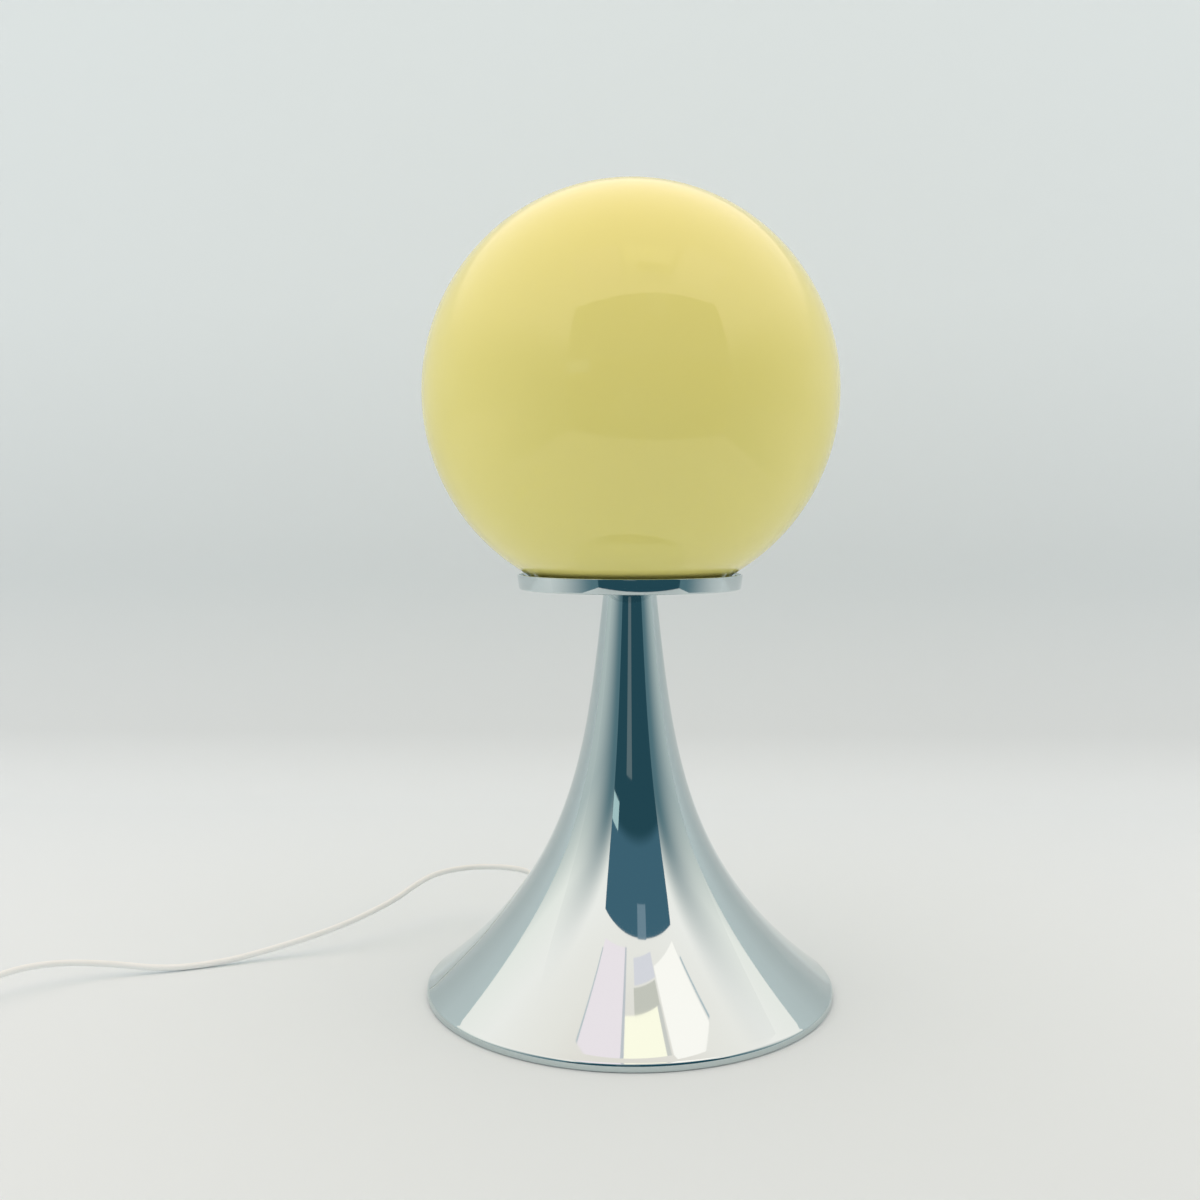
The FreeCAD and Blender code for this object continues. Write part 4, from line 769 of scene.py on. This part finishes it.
def opening_point(along, inward=0.0, height=0.0):
    """A point beside the opening: so far along it, so far into the tent and so high."""
    c, s = math.cos(OPENING_TURN), math.sin(OPENING_TURN)
    return (OPENING[0] + along * c - inward * s, OPENING[1] + along * s + inward * c, height)


def show_card(name, edge, slide, material, lights=False):
    """Stand a card in the tent, out of the picture: only mirrors see it, or only matt things if it
    lights them."""
    obj = drawn_out(name, edge, slide, material)
    obj.visible_camera = False
    obj.visible_diffuse = lights
    obj.visible_shadow = lights
    obj.visible_glossy = not lights
    bpy.context.scene.collection.objects.link(obj)


def stand_sweep(paper):
    """The studio paper, swept up behind the lamp in one bend."""
    wall = SWEEP_START + SWEEP_BEND
    side = [(-PAPER_REACH, 0.0), (PAPER_FRONT_POINT, 0.0), (SWEEP_START, 0.0)]
    side += arc((SWEEP_START, SWEEP_BEND), SWEEP_BEND, -84, 0, count=15)
    side += [(wall, PAPER_UPRIGHT_POINT), (wall, PAPER_TOP)]
    line = [(-PAPER_REACH, y, z) for y, z in side]
    floor = drawn_out("studio_sweep", line, (2 * PAPER_REACH, 0, 0), paper, sheet=True)
    bpy.context.scene.collection.objects.link(floor)


def stand_tent():
    """The tent as the chrome sees it: the dark opening, what lies beyond it, the dim side walls by it
    and the cloth roof over it, and the light that the opening lets in."""
    left, right = (opening_point(end) for end in OPENING_ENDS)
    up = (0, 0, OPENING_HEIGHT)
    show_card("tent_opening", (left, right), up, unlit_room())
    dim = dim_wall()
    for name, end in zip(("left_wall", "right_wall"), OPENING_ENDS):
        edge = (opening_point(end), opening_point(end, WALL_REACH))
        show_card(name, edge, (0, 0, WALL_HEIGHT), dim)
    for name, start, end, low, high, radiance in FAR_LIGHTS:
        edge = [opening_point(along, FAR_LIGHT_INSET, low) for along in (start, end)]
        show_card(name, edge, (0, 0, high - low), plain_glow(name, radiance))
    for name, (x_low, x_high), (y_low, y_high), radiance in CEILING:
        edge = [(x, y_low, CEILING_HEIGHT) for x in (x_low, x_high)]
        show_card(name, edge, (0, y_high - y_low, 0), plain_glow(name, radiance))
    show_card("room_fill", (left, right), up, plain_glow("room_fill", ROOM_RADIANCE), lights=True)


def hang_light():
    """The tent's own light, from all round and above."""
    world = bpy.data.worlds.new("white_tent")
    world.use_nodes = True
    tree = world.node_tree
    where = add(tree, "ShaderNodeTexCoord")
    split = add(tree, "ShaderNodeSeparateXYZ", inputs={"Vector": where.outputs["Generated"]})
    light = add(tree, "ShaderNodeValToRGB", inputs={"Fac": split.outputs["Z"]})
    grade(light, [(height, [part / BRIGHTEST for part in radiance]) for height, radiance in TENT_LIGHT])
    air = tree.nodes["Background"]
    tree.links.new(light.outputs["Color"], air.inputs["Color"])
    air.inputs["Strength"].default_value = BRIGHTEST
    bpy.context.scene.world = world


def stand_camera():
    """The camera, where it stood for the photograph."""
    camera = bpy.data.cameras.new("camera")
    camera.sensor_width = 36.0
    camera.lens = CAMERA_LENS
    camera.clip_start = 0.01
    eye = bpy.data.objects.new("camera", camera)
    eye.matrix_world = Matrix.Translation(CAMERA_PLACE) @ Matrix(CAMERA_WAYS).transposed().to_4x4()
    bpy.context.scene.collection.objects.link(eye)
    bpy.context.scene.camera = eye


class LAMP_OT_studio(bpy.types.Operator):
    """Set the pale studio paper, the light tent and the camera"""
    bl_idname = "lamp.studio"
    bl_label = "Studio"

    def execute(self, context):
        stand_sweep(studio_paper())
        stand_tent()
        hang_light()
        stand_camera()
        context.scene.view_settings.view_transform = "Standard"
        return {"FINISHED"}


# ---------------------------------------------------------------- add-on


class LAMP_PT_panel(bpy.types.Panel):
    """Lists the sizes, the colours and the steps that dress the lamp"""
    bl_label = "Glass globe table lamp"
    bl_idname = "LAMP_PT_panel"
    bl_space_type = "VIEW_3D"
    bl_region_type = "UI"
    bl_category = "Lamp"

    def draw(self, context):
        layout = self.layout
        for group in (context.scene.lamp_shape, context.scene.lamp_finish):
            for name in group.__annotations__:
                layout.prop(group, name)
        for step in STEPS:
            layout.operator(step.bl_idname)


STEPS = (
    LAMP_OT_studio, LAMP_OT_trumpet, LAMP_OT_dish, LAMP_OT_globe, LAMP_OT_cord, LAMP_OT_gland,
    LAMP_OT_fittings,
)
CLASSES = (LampShape, LampFinish, *STEPS, LAMP_PT_panel)


def register():
    for item in CLASSES:
        bpy.utils.register_class(item)
    bpy.types.Scene.lamp_shape = bpy.props.PointerProperty(type=LampShape)
    bpy.types.Scene.lamp_finish = bpy.props.PointerProperty(type=LampFinish)


def unregister():
    del bpy.types.Scene.lamp_finish
    del bpy.types.Scene.lamp_shape
    for item in reversed(CLASSES):
        bpy.utils.unregister_class(item)


def main():
    register()
    # The finishes of the spun pieces and of the globe, which their operators look up by name.
    chrome_plate()
    opal_glass()
    bpy.ops.lamp.studio()
    bpy.ops.lamp.trumpet()
    bpy.ops.lamp.dish()
    bpy.ops.lamp.globe()
    bpy.ops.lamp.cord()
    bpy.ops.lamp.gland()
    bpy.ops.lamp.fittings()
    bpy.context.view_layer.update()


if __name__ == "__main__":
    main()
